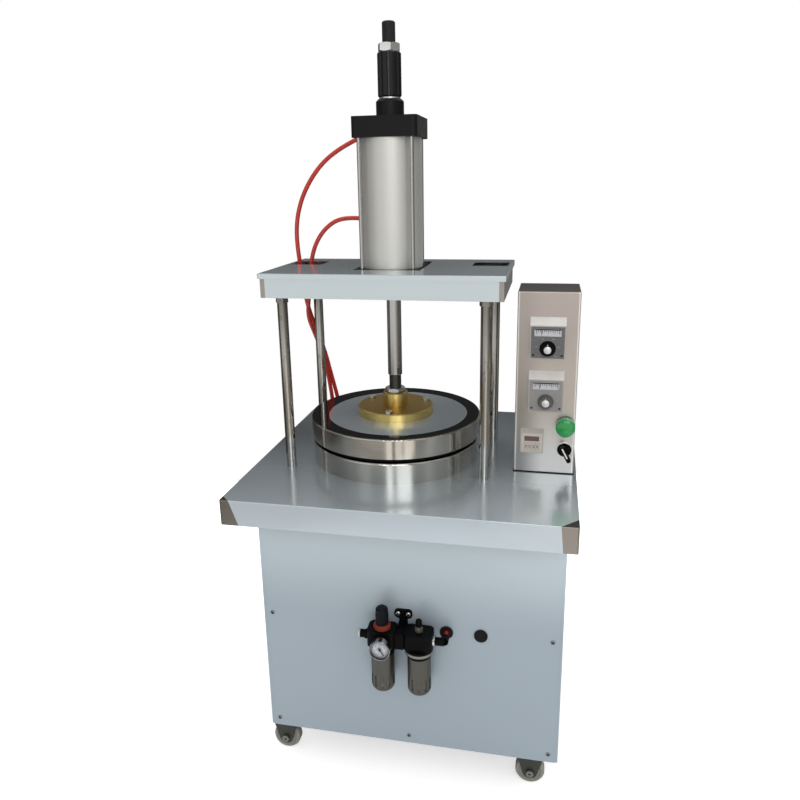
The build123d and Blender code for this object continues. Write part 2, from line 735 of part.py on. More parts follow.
def platform_cover():
    """Sheet cover with a stepped lip, a cut-out for the cylinder and a slot at each side."""
    lip = block(span(PRESS_X, COVER_W), span(PRESS_Y, COVER_D), (COVER_TOP - COVER_LIP, COVER_TOP))
    lip = fillet(lip.edges().filter_by(Axis.Z), COVER_SHEET)
    lip = round_edges(lip, COVER_TOP, FOLD_R)
    skirt_w = COVER_W - 2 * COVER_STEP
    skirt_d = COVER_D - 2 * COVER_STEP
    skirt = block(span(PRESS_X, skirt_w), span(PRESS_Y, skirt_d), (PLATE_Z, COVER_TOP - COVER_LIP / 2))
    hollow_x = span(PRESS_X, skirt_w - 2 * COVER_SHEET)
    hollow_y = span(PRESS_Y, skirt_d - 2 * COVER_SHEET)
    cover = lip + skirt - block(hollow_x, hollow_y, (PLATE_Z, COVER_TOP - COVER_SHEET))
    z = (COVER_TOP - COVER_SHEET, COVER_TOP)
    cutout_y = (PRESS_Y - CUTOUT_FRONT, PRESS_Y + CUTOUT_REAR)
    cover = cover - block(span(PRESS_X, CUTOUT_W), cutout_y, z)
    for side in (-1, 1):
        slot_x = sorted(PRESS_X + side * x for x in HOSE_SLOT_X)
        slot_y = [PRESS_Y + y for y in HOSE_SLOT_Y]
        cover = cover - rounded_block(slot_x, slot_y, z, HOSE_SLOT_CORNER)
    return cover


def cylinder_cap(z):
    """Square end cap with rounded corners and holes for the tie rods."""
    cap = rounded_block(span(PRESS_X, CAP_SIDE), span(PRESS_Y, CAP_SIDE), z, CAP_CORNER)
    holes = [post(TIE_ROD_R + BOLT_GAP, z, x, y) for x, y in TIE_ROD_PLACES]
    return cut_all(cap, holes)


def cylinder():
    """Tie-rod air cylinder: caps, barrel, tie rods and rod bush."""
    spigot_r = BORE_R - SLIP
    low_z = (PLATE_TOP, COVER_TOP)
    low = cylinder_cap(low_z) + post(spigot_r, (COVER_TOP, COVER_TOP + SPIGOT_H), PRESS_X, PRESS_Y)
    low = low - post(BUSH_R, (PLATE_TOP, COVER_TOP + SPIGOT_H), PRESS_X, PRESS_Y)
    port_y = (CAP_REAR_Y - PORT_DEPTH, CAP_REAR_Y)
    save("cylinder_bottom_cap", low - bar_y(PORT_R, PRESS_X, port_y, LOWER_PORT_Z))
    barrel_z = (COVER_TOP, BARREL_TOP)
    barrel = post(BARREL_R, barrel_z, PRESS_X, PRESS_Y) - post(BORE_R, barrel_z, PRESS_X, PRESS_Y)
    groove_z = span(BARREL_TOP - BARREL_GROOVE_DROP, BARREL_GROOVE_W)
    groove = post(BARREL_R, groove_z, PRESS_X, PRESS_Y)
    groove = groove - post(BARREL_R - BARREL_GROOVE_DEPTH, groove_z, PRESS_X, PRESS_Y)
    save("cylinder_barrel", barrel - groove)
    top = cylinder_cap((BARREL_TOP, CAP_TOP))
    top = top + post(spigot_r, (BARREL_TOP - SPIGOT_H, BARREL_TOP), PRESS_X, PRESS_Y)
    boss = [
        (0, CAP_TOP),
        (BOSS_R, CAP_TOP),
        (BOSS_R, BOSS_TOP - BOSS_CHAMFER),
        (BOSS_R - BOSS_CHAMFER, BOSS_TOP),
        (0, BOSS_TOP),
    ]
    top = top + turned(boss, PRESS_X, PRESS_Y)
    top = top - post(THREAD_R + RUN_FIT, (BARREL_TOP - SPIGOT_H, BOSS_TOP), PRESS_X, PRESS_Y)
    sink = (CAP_TOP - SLEEVE_NUT_SINK - SLEEVE_NUT_H, CAP_TOP)
    top = cut_all(top, [post(SLEEVE_NUT_R + SLIP, sink, x, y) for x, y in TIE_ROD_PLACES])
    save("cylinder_top_cap", top - bar_y(PORT_R, PRESS_X, port_y, UPPER_PORT_Z))
    rod_z = (PLATE_Z - TIE_NUT_H - TIE_ROD_R, CAP_TOP - SLEEVE_NUT_SINK - SLEEVE_NUT_H / 2 - SLIP)
    save("tie_rods", *[post(TIE_ROD_R, rod_z, x, y) for x, y in TIE_ROD_PLACES])
    bush = [
        (ROD_R + RUN_FIT, PLATE_Z - BUSH_NOSE),
        (BUSH_COLLAR_R, PLATE_Z - BUSH_NOSE),
        (BUSH_COLLAR_R, PLATE_TOP),
        (BUSH_R - RUN_FIT, PLATE_TOP),
        (BUSH_R - RUN_FIT, COVER_TOP + SPIGOT_H),
        (ROD_R + RUN_FIT, COVER_TOP + SPIGOT_H),
    ]
    save("rod_bush", turned(bush, PRESS_X, PRESS_Y))


def lower_platen():
    """Stainless band with a rolled rim, round the cast heating plate on its pads."""
    lip_r = LOWER_PLATEN_R - LOWER_LIP
    shell = post(LOWER_PLATEN_R, (TABLE_H, LOWER_TOP), PRESS_X, PRESS_Y)
    shell = round_edges(shell, LOWER_TOP, LOWER_RIM_R)
    hollow_z = (TABLE_H, LOWER_TOP - LOWER_RIM_R)
    shell = shell - post(LOWER_PLATEN_R - PLATEN_WALL, hollow_z, PRESS_X, PRESS_Y)
    shell = shell - post(lip_r, (hollow_z[1], LOWER_TOP), PRESS_X, PRESS_Y)
    save("lower_platen_shell", shell)
    plate = post(lip_r - SLIP, (LOWER_TOP - HEAT_PLATE_T, LOWER_TOP), PRESS_X, PRESS_Y)
    for turn in range(4):
        angle = math.radians(45 + 90 * turn)
        pad_x = PRESS_X + HEAT_PAD_PITCH_R * math.cos(angle)
        pad_y = PRESS_Y + HEAT_PAD_PITCH_R * math.sin(angle)
        plate = plate + post(HEAT_PAD_R, (TABLE_H, LOWER_TOP - HEAT_PLATE_T), pad_x, pad_y)
    save("lower_heating_plate", plate)


def flange_bolt_places():
    """Centres of the bolts of the brass flange."""
    for degrees in FLANGE_BOLT_ANGLES:
        angle = math.radians(degrees)
        yield (
            PRESS_X + FLANGE_BOLT_PITCH_R * math.cos(angle),
            PRESS_Y + FLANGE_BOLT_PITCH_R * math.sin(angle),
        )


def ram():
    """Everything that the air moves: rod, piston, brass flange and upper platen."""
    bolt_low = FLANGE_TOP - FLANGE_BOLT_GRIP
    holes = [
        post(FLANGE_BOLT_R + BOLT_GAP, (bolt_low - 1, FLANGE_TOP), x, y) for x, y in flange_bolt_places()
    ]
    shell = post(UPPER_PLATEN_R, (UPPER_Z, UPPER_TOP), PRESS_X, PRESS_Y)
    shell = round_edges(shell, UPPER_TOP, UPPER_RIM_R)
    hollow_r = UPPER_PLATEN_R - PLATEN_WALL
    hollow = post(hollow_r, (UPPER_Z, UPPER_TOP - PLATEN_WALL), PRESS_X, PRESS_Y)
    hollow = round_edges(hollow, UPPER_TOP - PLATEN_WALL, UPPER_RIM_R - PLATEN_WALL)
    save("upper_platen_shell", cut_all(shell - hollow, holes))
    plate = post(hollow_r - SLIP, (UPPER_Z, UPPER_Z + HEAT_PLATE_T), PRESS_X, PRESS_Y)
    plate = plate + post(HEAT_BOSS_R, (UPPER_Z, UPPER_TOP - PLATEN_WALL), PRESS_X, PRESS_Y)
    save("upper_heating_plate", cut_all(plate, holes))
    chamfer = FLANGE_CHAMFER
    flange = [
        (THREAD_R + SLIP, UPPER_TOP),
        (FLANGE_R, UPPER_TOP),
        (FLANGE_R, FLANGE_TOP - chamfer),
        (FLANGE_R - chamfer, FLANGE_TOP),
        (HUB_R, FLANGE_TOP),
        (HUB_R, HUB_TOP - chamfer),
        (HUB_R - chamfer, HUB_TOP),
        (THREAD_R + SLIP, HUB_TOP),
    ]
    save("platen_flange", cut_all(turned(flange, PRESS_X, PRESS_Y), holes))
    fasteners = []
    for x, y in flange_bolt_places():
        head = hex_nut(FLANGE_BOLT_AF, (FLANGE_TOP, FLANGE_TOP + FLANGE_BOLT_HEAD), x, y)
        fasteners.append(head + post(FLANGE_BOLT_R, (bolt_low, FLANGE_TOP), x, y))
    nut_z = (HUB_TOP, ROD_NUT_TOP)
    nut = hex_nut(ROD_NUT_AF, nut_z, PRESS_X, PRESS_Y) - post(THREAD_R + SLIP, nut_z, PRESS_X, PRESS_Y)
    save("flange_fasteners", *fasteners, nut)
    neck = ROD_NUT_TOP + ROD_NECK
    tail_top = BOSS_TOP + TAIL_TOP_ABOVE_BOSS
    rod = [
        (0, UPPER_TOP),
        (THREAD_R, UPPER_TOP),
        (THREAD_R, neck),
        (ROD_R, neck + ROD_R - THREAD_R),
        (ROD_R, PISTON_Z),
        (THREAD_R, PISTON_Z),
        (THREAD_R, tail_top - TAIL_CHAMFER),
        (THREAD_R - TAIL_CHAMFER, tail_top),
        (0, tail_top),
    ]
    solid = turned(rod, PRESS_X, PRESS_Y)
    flat_z = (neck + ROD_FLAT_RAISE, neck + ROD_FLAT_RAISE + ROD_FLAT_H)
    for side in (-1, 1):
        flat_x = sorted((side * ROD_FLAT_AF / 2, side * 2 * ROD_R))
        flat = block(flat_x, span(0, 3 * ROD_R), flat_z)
        solid = solid - Pos(PRESS_X, PRESS_Y, 0) * Rot(0, 0, ROD_FLAT_TURN) * flat
    save("piston_rod", solid)
    piston_z = (PISTON_Z, PISTON_Z + PISTON_T)
    piston = post(BORE_R - RUN_FIT, piston_z, PRESS_X, PRESS_Y)
    save("piston", piston - post(THREAD_R + SLIP, piston_z, PRESS_X, PRESS_Y))


def stroke_stop():
    """Washer, fluted sleeve and locknut that set how far the ram comes down."""
    bore = THREAD_R + SLIP
    washer_z = (BOSS_TOP, BOSS_TOP + STOP_WASHER_T)
    washer = post(STOP_WASHER_R, washer_z, PRESS_X, PRESS_Y) - post(bore, washer_z, PRESS_X, PRESS_Y)
    save("stop_washer", washer)
    low = washer_z[1]
    high = low + STOP_SLEEVE_L
    outline = [
        (bore, low),
        (STOP_SLEEVE_R - STOP_CHAMFER, low),
        (STOP_SLEEVE_R, low + STOP_CHAMFER),
        (STOP_SLEEVE_R, high - STOP_CHAMFER),
        (STOP_SLEEVE_R - STOP_CHAMFER, high),
        (bore, high),
    ]
    sleeve = turned(outline, PRESS_X, PRESS_Y)
    groove_r = STOP_SLEEVE_R + STOP_FLUTE_R - STOP_FLUTE_DEPTH
    for flute in range(STOP_FLUTES):
        angle = 2 * math.pi * flute / STOP_FLUTES
        groove_x = PRESS_X + groove_r * math.cos(angle)
        groove_y = PRESS_Y + groove_r * math.sin(angle)
        sleeve = sleeve - post(STOP_FLUTE_R, (low, high), groove_x, groove_y)
    nut_z = (high, high + STOP_NUT_H)
    nut = hex_nut(ROD_NUT_AF, nut_z, PRESS_X, PRESS_Y, STOP_NUT_TURN) - post(bore, nut_z, PRESS_X, PRESS_Y)
    save("stop_sleeve", sleeve, nut)


def hooded_case(x, z, width, face_h, hood, proud):
    """Instrument front that stands proud of the panel under a sloping hood."""
    outline = [
        (0, BOX_FRONT_Y, z),
        (0, BOX_FRONT_Y - proud, z),
        (0, BOX_FRONT_Y - proud, z + face_h),
        (0, BOX_FRONT_Y, z + face_h + hood),
    ]
    face = Face(Wire.make_polygon(outline, close=True))
    return Pos(x - width / 2, 0, 0) * extrude(face, width, dir=(1, 0, 0))


def instruments():
    """Two temperature controllers with their knobs, and the press timer."""
    cases = []
    face_y = BOX_FRONT_Y - CONTROLLER_PROUD
    for name, raise_z in zip(("lower", "upper"), CONTROLLER_Z):
        z = TABLE_H + raise_z
        case = hooded_case(BOX_X, z, CONTROLLER_W, CONTROLLER_FACE_H, CONTROLLER_HOOD, CONTROLLER_PROUD)
        middle = z + CONTROLLER_FACE_H / 2
        body_y = (BOX_FRONT_Y, BOX_FRONT_Y + CONTROLLER_DEPTH)
        case = case + block(span(BOX_X, CONTROLLER_BODY), body_y, span(middle, CONTROLLER_BODY))
        window_z = span(z + CONTROLLER_FACE_H - WINDOW_DROP, WINDOW_H)
        window_y = (face_y, face_y + WINDOW_T)
        window = block(span(BOX_X, WINDOW_W), window_y, window_z)
        knob_z = z + KNOB_RAISE
        shaft_y = (face_y, face_y + KNOB_SHAFT_L + SLIP)
        cases.append(case - window - bar_y(KNOB_SHAFT_R + RUN_FIT, BOX_X, shaft_y, knob_z))
        back = face_y - SLIP
        knob = [
            (0, face_y + KNOB_SHAFT_L),
            (KNOB_SHAFT_R, face_y + KNOB_SHAFT_L),
            (KNOB_SHAFT_R, back),
            (KNOB_SKIRT_R, back),
            (KNOB_SKIRT_R - KNOB_TAPER, back - KNOB_SKIRT_T),
            (KNOB_GRIP_R, back - KNOB_SKIRT_T),
            (KNOB_GRIP_R - KNOB_TAPER, back - KNOB_H),
            (0, back - KNOB_H),
        ]
        save(f"{name}_temperature_knob", turned_y(knob, BOX_X, knob_z))
    save("temperature_controllers", *cases)
    timer_x = BOX_X + TIMER_X
    timer_z = TABLE_H + TIMER_Z
    timer = hooded_case(timer_x, timer_z, TIMER_W, TIMER_FACE_H, TIMER_HOOD, TIMER_PROUD)
    middle = timer_z + TIMER_FACE_H / 2
    body_y = (BOX_FRONT_Y, BOX_FRONT_Y + TIMER_DEPTH)
    timer = timer + block(span(timer_x, TIMER_BODY), body_y, span(middle, TIMER_BODY))
    display_y = (BOX_FRONT_Y - TIMER_PROUD, BOX_FRONT_Y - TIMER_PROUD + WINDOW_T)
    display_z = span(timer_z + TIMER_FACE_H - DISPLAY_DROP, DISPLAY_H)
    display = block(span(timer_x, DISPLAY_W), display_y, display_z)
    save("press_timer", timer - display)


def operators():
    """Green start button and selector switch, each in its collar."""
    collars = []
    collar_y = (BOX_FRONT_Y - COLLAR_H, BOX_FRONT_Y)
    for raise_z in (BUTTON_Z, SELECTOR_Z):
        z = TABLE_H + raise_z
        collars.append(bar_y(COLLAR_R, BUTTON_X, collar_y, z) - bar_y(COLLAR_BORE_R, BUTTON_X, collar_y, z))
    save("operator_collars", *collars)
    stem_r = COLLAR_BORE_R - RUN_FIT
    z = TABLE_H + BUTTON_Z
    back = collar_y[0] - BUTTON_TRAVEL - BUTTON_GAP
    front = back - BUTTON_HEAD_T
    skirt_y = back + BUTTON_SKIRT_L
    hollow = bar_y(BUTTON_R - BUTTON_SKIRT_T, BUTTON_X, (back, skirt_y), z)
    head = bar_y(BUTTON_R, BUTTON_X, (front, skirt_y), z) - hollow
    head = head & Pos(BUTTON_X, front + BUTTON_DOME_R, z) * Sphere(BUTTON_DOME_R)
    rim = head.edges().filter_by(GeomType.CIRCLE).sort_by(Axis.Y)[0]
    head = fillet(rim, BUTTON_EDGE_R)
    save("start_button", head + bar_y(stem_r, BUTTON_X, (back, back + BUTTON_STEM_L), z))
    z = TABLE_H + SELECTOR_Z
    disc_y = (collar_y[0] - SLIP - SELECTOR_DISC_T, collar_y[0] - SLIP)
    stem_y = (disc_y[1], BOX_FRONT_Y + SELECTOR_STEM_L)
    knob = bar_y(SELECTOR_R, BUTTON_X, disc_y, z) + bar_y(stem_r, BUTTON_X, stem_y, z)
    grip = Rectangle(SELECTOR_GRIP_TAIL + SELECTOR_GRIP_NOSE, SELECTOR_GRIP_W)
    grip = Pos((SELECTOR_GRIP_NOSE - SELECTOR_GRIP_TAIL) / 2, 0) * grip
    grip = fillet(grip.vertices(), SELECTOR_GRIP_W * 0.3)
    front = Plane(origin=(BUTTON_X, disc_y[0], z), x_dir=(1, 0, 0), z_dir=(0, -1, 0))
    save("selector_switch", knob + extrude(front * Rot(0, 0, SELECTOR_ANGLE) * grip, SELECTOR_GRIP_H))


def control_box():
    """Folded steel box on the worktop, with cut-outs for the instruments."""
    x = span(BOX_X, BOX_W)
    y = (BOX_FRONT_Y, BOX_FRONT_Y + BOX_D)
    z = (TABLE_H, TABLE_H + BOX_H)
    outer = rounded_block(x, y, z, BOX_EDGE_R)
    outer = round_edges(outer, z[1], BOX_EDGE_R)
    inner_x = (x[0] + BOX_WALL, x[1] - BOX_WALL)
    inner_y = (y[0] + BOX_WALL, y[1] - BOX_WALL)
    box = outer - block(inner_x, inner_y, (z[0], z[1] - BOX_WALL))
    wall_y = (y[0], y[0] + BOX_WALL)
    opening = CONTROLLER_BODY + 2 * SLIP
    for raise_z in CONTROLLER_Z:
        middle = TABLE_H + raise_z + CONTROLLER_FACE_H / 2
        box = box - block(span(BOX_X, opening), wall_y, span(middle, opening))
    opening = TIMER_BODY + 2 * SLIP
    middle = TABLE_H + TIMER_Z + TIMER_FACE_H / 2
    box = box - block(span(BOX_X + TIMER_X, opening), wall_y, span(middle, opening))
    for raise_z in (BUTTON_Z, SELECTOR_Z):
        box = box - bar_y(COLLAR_BORE_R + SLIP, BUTTON_X, wall_y, TABLE_H + raise_z)
    save("control_box", box)


def air_unit():
    """Filter regulator and lubricator with bowls, guards, gauge and bracket."""
    z = (UNIT_BOTTOM, UNIT_TOP)
    bodies = {}
    for name, x, neck_r in (
        ("filter", FILTER_X, FILTER_NECK_R),
        ("lubricator", LUBRICATOR_X, LUBRICATOR_NECK_R),
    ):
        body = rounded_block(span(x, UNIT_W), span(UNIT_Y, UNIT_D), (z[0] + UNIT_NECK_H, z[1]), UNIT_CORNER)
        neck = post(neck_r, (z[0], z[0] + UNIT_NECK_H), x, UNIT_Y)
        bodies[name] = body + round_edges(neck, z[0], neck_r - UNIT_SEAT_R)
        for side in (-1, 1):
            port_x = sorted((x, x + side * UNIT_W / 2))
            port = block(port_x, span(UNIT_Y, UNIT_PORT_SIDE), span(AIR_Z, UNIT_PORT_SIDE))
            bodies[name] = bodies[name] + port
    bonnet_z = (UNIT_TOP, UNIT_TOP + BONNET_H)
    bodies["filter"] = bodies["filter"] + post(BONNET_R, bonnet_z, FILTER_X, UNIT_Y)
    stem_y = (UNIT_FRONT - GAUGE_STEM_L, UNIT_Y)
    bodies["filter"] = bodies["filter"] + bar_y(GAUGE_STEM_R, GAUGE_X, stem_y, GAUGE_Z)
    dose_z = (UNIT_TOP - DOSER_STEM_SINK - SLIP, UNIT_TOP)
    bodies["lubricator"] = bodies["lubricator"] - post(DOSER_STEM_R + SLIP, dose_z, LUBRICATOR_X, UNIT_Y)
    save("air_unit_bodies", *bodies.values())
    low = UNIT_TOP + SLIP
    ring_top = low + REGULATOR_RING_H
    crown = low + REGULATOR_KNOB_H
    knob = [
        (BONNET_R + RUN_FIT, low),
        (REGULATOR_RING_R, low),
        (REGULATOR_RING_R, ring_top - REGULATOR_RING_BEVEL),
        (REGULATOR_RING_R - REGULATOR_RING_BEVEL, ring_top),
        (REGULATOR_KNOB_R, ring_top),
        (REGULATOR_KNOB_R, crown),
        (0, crown),
        (0, bonnet_z[1] + SLIP),
        (BONNET_R + RUN_FIT, bonnet_z[1] + SLIP),
    ]
    save("regulator_knob", round_edges(turned(knob, FILTER_X, UNIT_Y), crown, REGULATOR_CROWN_R))
    bowls = []
    guards = []
    for x in (FILTER_X, LUBRICATOR_X):
        bowls.append(clear_bowl(x))
        guards.append(bowl_guard(x))
    dome = [
        (DOSER_STEM_R + RUN_FIT, UNIT_TOP),
        (DOME_R, UNIT_TOP),
        (DOME_R, UNIT_TOP + DOME_H * 0.6),
        (DOME_R * 0.8, UNIT_TOP + DOME_H * 0.9),
        (DOME_R * 0.6, UNIT_TOP + DOME_H),
        (DOSER_STEM_R + RUN_FIT, UNIT_TOP + DOME_H),
    ]
    save("clear_bowls", *bowls, turned(dome, LUBRICATOR_X, UNIT_Y))
    save("bowl_guards", *guards)
    knob_z = UNIT_TOP + DOME_H + SLIP
    doser = [
        (0, UNIT_TOP - DOSER_STEM_SINK),
        (DOSER_STEM_R, UNIT_TOP - DOSER_STEM_SINK),
        (DOSER_STEM_R, knob_z),
        (DOSER_KNOB_R, knob_z),
        (DOSER_KNOB_R, knob_z + DOSER_KNOB_H - DOSER_KNOB_EDGE),
        (DOSER_KNOB_R - DOSER_KNOB_EDGE, knob_z + DOSER_KNOB_H),
        (0, knob_z + DOSER_KNOB_H),
    ]
    save("lubricator_knob", turned(doser, LUBRICATOR_X, UNIT_Y))
    gauge()
    bracket()


def clear_bowl(x):
    """Clear bowl with a rounded end and a drain."""
    top = UNIT_BOTTOM
    low = top - BOWL_L
    solid = post(BOWL_R, (low, top), x, UNIT_Y)
    solid = round_edges(solid, low, BOWL_END_R)
    hollow = post(BOWL_R - BOWL_WALL, (low + BOWL_WALL, top), x, UNIT_Y)
    hollow = round_edges(hollow, low + BOWL_WALL, BOWL_END_R - BOWL_WALL)
    return solid - hollow + post(DRAIN_R, (low - DRAIN_L, low + BOWL_WALL), x, UNIT_Y)


def bowl_guard(x):
    """Metal guard round a bowl, with slots in its lower half and a hole for the drain."""
    top = UNIT_BOTTOM
    inner_r = BOWL_R + SLIP
    outer_r = inner_r + GUARD_WALL
    inner_low = top - BOWL_L - SLIP
    low = inner_low - GUARD_WALL
    solid = post(outer_r, (low, top), x, UNIT_Y)
    solid = round_edges(solid, low, BOWL_END_R + GUARD_WALL)
    hollow = post(inner_r, (inner_low, top), x, UNIT_Y)
    hollow = round_edges(hollow, inner_low, BOWL_END_R)
    guard = solid - hollow - post(GUARD_FLOOR_HOLE_R, (low, inner_low), x, UNIT_Y)
    slot_z = span(low + GUARD_SLOT_RAISE + GUARD_SLOT_L / 2, GUARD_SLOT_L)
    for slot in range(GUARD_SLOTS):
        cutter = block((0, 2 * outer_r), span(0, GUARD_SLOT_W), slot_z)
        cutter = fillet(cutter.edges().filter_by(Axis.X), GUARD_SLOT_W * 0.45)
        guard = guard - Pos(x, UNIT_Y, 0) * Rot(0, 0, 360 * (slot + 0.5) / GUARD_SLOTS) * cutter
    return guard


def gauge():
    """Pressure gauge case and its pointer."""
    back = UNIT_FRONT - GAUGE_STEM_L
    front = back - GAUGE_T
    dial = front + GAUGE_RECESS
    case = [
        (0, back),
        (GAUGE_R - GAUGE_BACK_BEVEL, back),
        (GAUGE_R, back - GAUGE_BACK_BEVEL),
        (GAUGE_R, front + GAUGE_EDGE),
        (GAUGE_R - GAUGE_EDGE, front),
        (GAUGE_R - GAUGE_RIM, front),
        (GAUGE_R - GAUGE_RIM, dial),
        (0, dial),
    ]
    pin_y = (dial, dial + NEEDLE_PIN_L)
    bore = bar_y(NEEDLE_PIN_R + RUN_FIT, GAUGE_X, pin_y, GAUGE_Z)
    save("gauge_case", turned_y(case, GAUGE_X, GAUGE_Z) - bore)
    pointer_y = dial - NEEDLE_LIFT
    outline = Pos(NEEDLE_L / 2 - NEEDLE_TAIL / 2, 0) * Rectangle(NEEDLE_L + NEEDLE_TAIL, NEEDLE_W)
    outline = outline + Circle(NEEDLE_BOSS_R)
    face = Plane(origin=(GAUGE_X, pointer_y, GAUGE_Z), x_dir=(1, 0, 0), z_dir=(0, -1, 0))
    pointer = extrude(face * Rot(0, 0, NEEDLE_ANGLE) * outline, NEEDLE_T)
    save("gauge_needle", pointer + bar_y(NEEDLE_PIN_R, GAUGE_X, (pointer_y, pin_y[1] - SLIP), GAUGE_Z))


def bracket():
    """T-shaped bracket that clamps the two units and screws to the front panel."""
    x = FILTER_X + UNIT_PITCH / 2
    wall_y = (FRONT_Y - BRACKET_T, FRONT_Y)
    arm_w = UNIT_PITCH - UNIT_W
    bar = rounded_bar(span(x, BRACKET_BAR_W), wall_y, span(BRACKET_BAR_Z, BRACKET_BAR_H))
    stem = block(span(x, BRACKET_STEM_W), wall_y, (AIR_Z - BRACKET_ARM_H / 2, BRACKET_BAR_Z))
    arm = block(span(x, arm_w), (UNIT_FRONT + BRACKET_ARM_INSET, FRONT_Y), span(AIR_Z, BRACKET_ARM_H))
    save("air_unit_bracket", bar + stem + arm)


def rounded_bar(x, y, z):
    """Flat bar on the panel whose four corners are rounded."""
    solid = block(x, y, z)
    return fillet(solid.edges().filter_by(Axis.Y), (z[1] - z[0]) * 0.4)


def fittings():
    """Hose elbows on the cylinder, and the inlet and outlet of the air unit."""
    elbows = []
    for z in (UPPER_PORT_Z, LOWER_PORT_Z):
        stem = bar_y(PORT_R - SLIP, PRESS_X, (CAP_REAR_Y - PORT_DEPTH + 1, CAP_REAR_Y), z)
        stem = stem + bar_y(FITTING_R, PRESS_X, (CAP_REAR_Y, ELBOW_Y), z)
        elbows.append(stem + Pos(PRESS_X, ELBOW_Y, z) * Sphere(FITTING_R))
    leg_x = (PRESS_X - FITTING_LEG, PRESS_X)
    elbows[0] = elbows[0] + bar_x(FITTING_R, leg_x, ELBOW_Y, UPPER_PORT_Z)
    leg_z = (LOWER_PORT_Z, LOWER_PORT_Z + FITTING_LEG)
    elbows[1] = elbows[1] + post(FITTING_R, leg_z, PRESS_X, ELBOW_Y)
    inlet_face = FILTER_X - UNIT_W / 2
    inlet_end = inlet_face - INLET_L
    inlet = bar_x(FITTING_R, (inlet_end, inlet_face), UNIT_Y, AIR_Z)
    hex_bar = extrude(RegularPolygon(FITTING_HEX_AF / 2, 6, major_radius=False), INLET_L / 3)
    inlet = inlet + Pos(inlet_face - INLET_L / 3, UNIT_Y, AIR_Z) * Rot(0, 90, 0) * hex_bar
    inlet = inlet - bar_x(INLET_BORE_R, (inlet_end, inlet_end + INLET_BORE_L), UNIT_Y, AIR_Z)
    outlet_face = LUBRICATOR_X + UNIT_W / 2
    outlet = bar_x(FITTING_R, (outlet_face, OUTLET_X), UNIT_Y, AIR_Z)
    outlet = outlet + Pos(OUTLET_X, UNIT_Y, AIR_Z) * Sphere(FITTING_R)
    collar_x = (outlet_face, outlet_face + OUTLET_COLLAR_L)
    outlet = outlet + bar_x(FITTING_R + OUTLET_COLLAR, collar_x, UNIT_Y, AIR_Z)
    outlet_y = (UNIT_Y, UNIT_Y + FITTING_R + FITTING_STEM / 2)
    outlet = outlet + bar_y(FITTING_R, OUTLET_X, outlet_y, AIR_Z)
    save("air_fittings", *elbows, inlet, outlet)


def grommets():
    """Rubber grommet and blanking plug of the front panel, and the hose grommet of the worktop."""
    flange_y = (FRONT_Y - GROMMET_FLANGE_T, FRONT_Y)
    body_y = (FRONT_Y, FRONT_Y + PANEL_T + GROMMET_TAIL)
    pieces = []
    for x in (OUTLET_X, PLUG_X):
        solid = bar_y(GROMMET_FLANGE_R, x, flange_y, AIR_Z) + bar_y(GROMMET_BODY_R, x, body_y, AIR_Z)
        pieces.append(solid)
    pieces[0] = pieces[0] - bar_y(GROMMET_BORE_R, OUTLET_X, (flange_y[0], body_y[1]), AIR_Z)
    place = (TABLE_GROMMET_X, TABLE_GROMMET_Y)
    ring_z = (TABLE_H, TABLE_H + GROMMET_FLANGE_T)
    tail_z = (CABINET_TOP - GROMMET_TAIL, TABLE_H)
    ring = post(TABLE_GROMMET_FLANGE_R, ring_z, *place) + post(TABLE_GROMMET_BODY_R, tail_z, *place)
    pieces.append(ring - post(TABLE_GROMMET_BORE_R, (tail_z[0], ring_z[1]), *place))
    save("grommets", *pieces)


def air_valve():
    """Solenoid valve that hangs from the worktop and switches air to either end of the cylinder."""
    x = TABLE_GROMMET_X
    y = TABLE_GROMMET_Y
    top = VALVE_PORT_Z - VALVE_PORT_H
    body = block(span(x, VALVE_L - VALVE_COIL_L), span(y, VALVE_W), (top - VALVE_H, top))
    coil_x = (x + (VALVE_L - VALVE_COIL_L) / 2, x + (VALVE_L + VALVE_COIL_L) / 2)
    body = body + block(coil_x, span(y, VALVE_W * 0.8), (top - VALVE_H * 0.9, top - 2))
    for side in (-1, 1):
        body = body + post(FITTING_R, (top, VALVE_PORT_Z), x + side * VALVE_PORT_PITCH / 2, y)
    inlet_z = top - VALVE_H / 2
    body = body + bar_y(FITTING_R, x, (y - VALVE_W / 2 - VALVE_PORT_H, y - VALVE_W / 2), inlet_z)
    back = y + VALVE_W / 2 + VALVE_STANDOFF
    body = body + block(span(x, VALVE_W), (y, back), (top - VALVE_H, top))
    sheet_y = (back, back + VALVE_BRACKET_T)
    body = body + block(span(x, VALVE_BRACKET_W), sheet_y, (top - VALVE_H, CABINET_TOP))
    foot_y = (back, back + VALVE_BRACKET_FOOT)
    foot_z = (CABINET_TOP - VALVE_BRACKET_T, CABINET_TOP)
    return body + block(span(x, VALVE_BRACKET_W), foot_y, foot_z)


os.makedirs("parts", exist_ok=True)
save("table_top", table())
cabinet()
casters()
columns()
frame_nuts()
save("platform_plate", platform_plate())
save("platform_cover", platform_cover())
cylinder()
lower_platen()
ram()
stroke_stop()
control_box()
instruments()
operators()
air_unit()
fittings()
grommets()
save("air_valve", air_valve())
save("hose_upper", hose("hose_upper", UPPER_HOSE))
save("hose_lower", hose("hose_lower", LOWER_HOSE))
save("hose_supply", hose("hose_supply", SUPPLY_HOSE))
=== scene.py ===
"""Looks, studio and camera of the dough press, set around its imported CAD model."""
import math
from functools import partialmethod

import bmesh
import bpy
from mathutils import Matrix, Vector

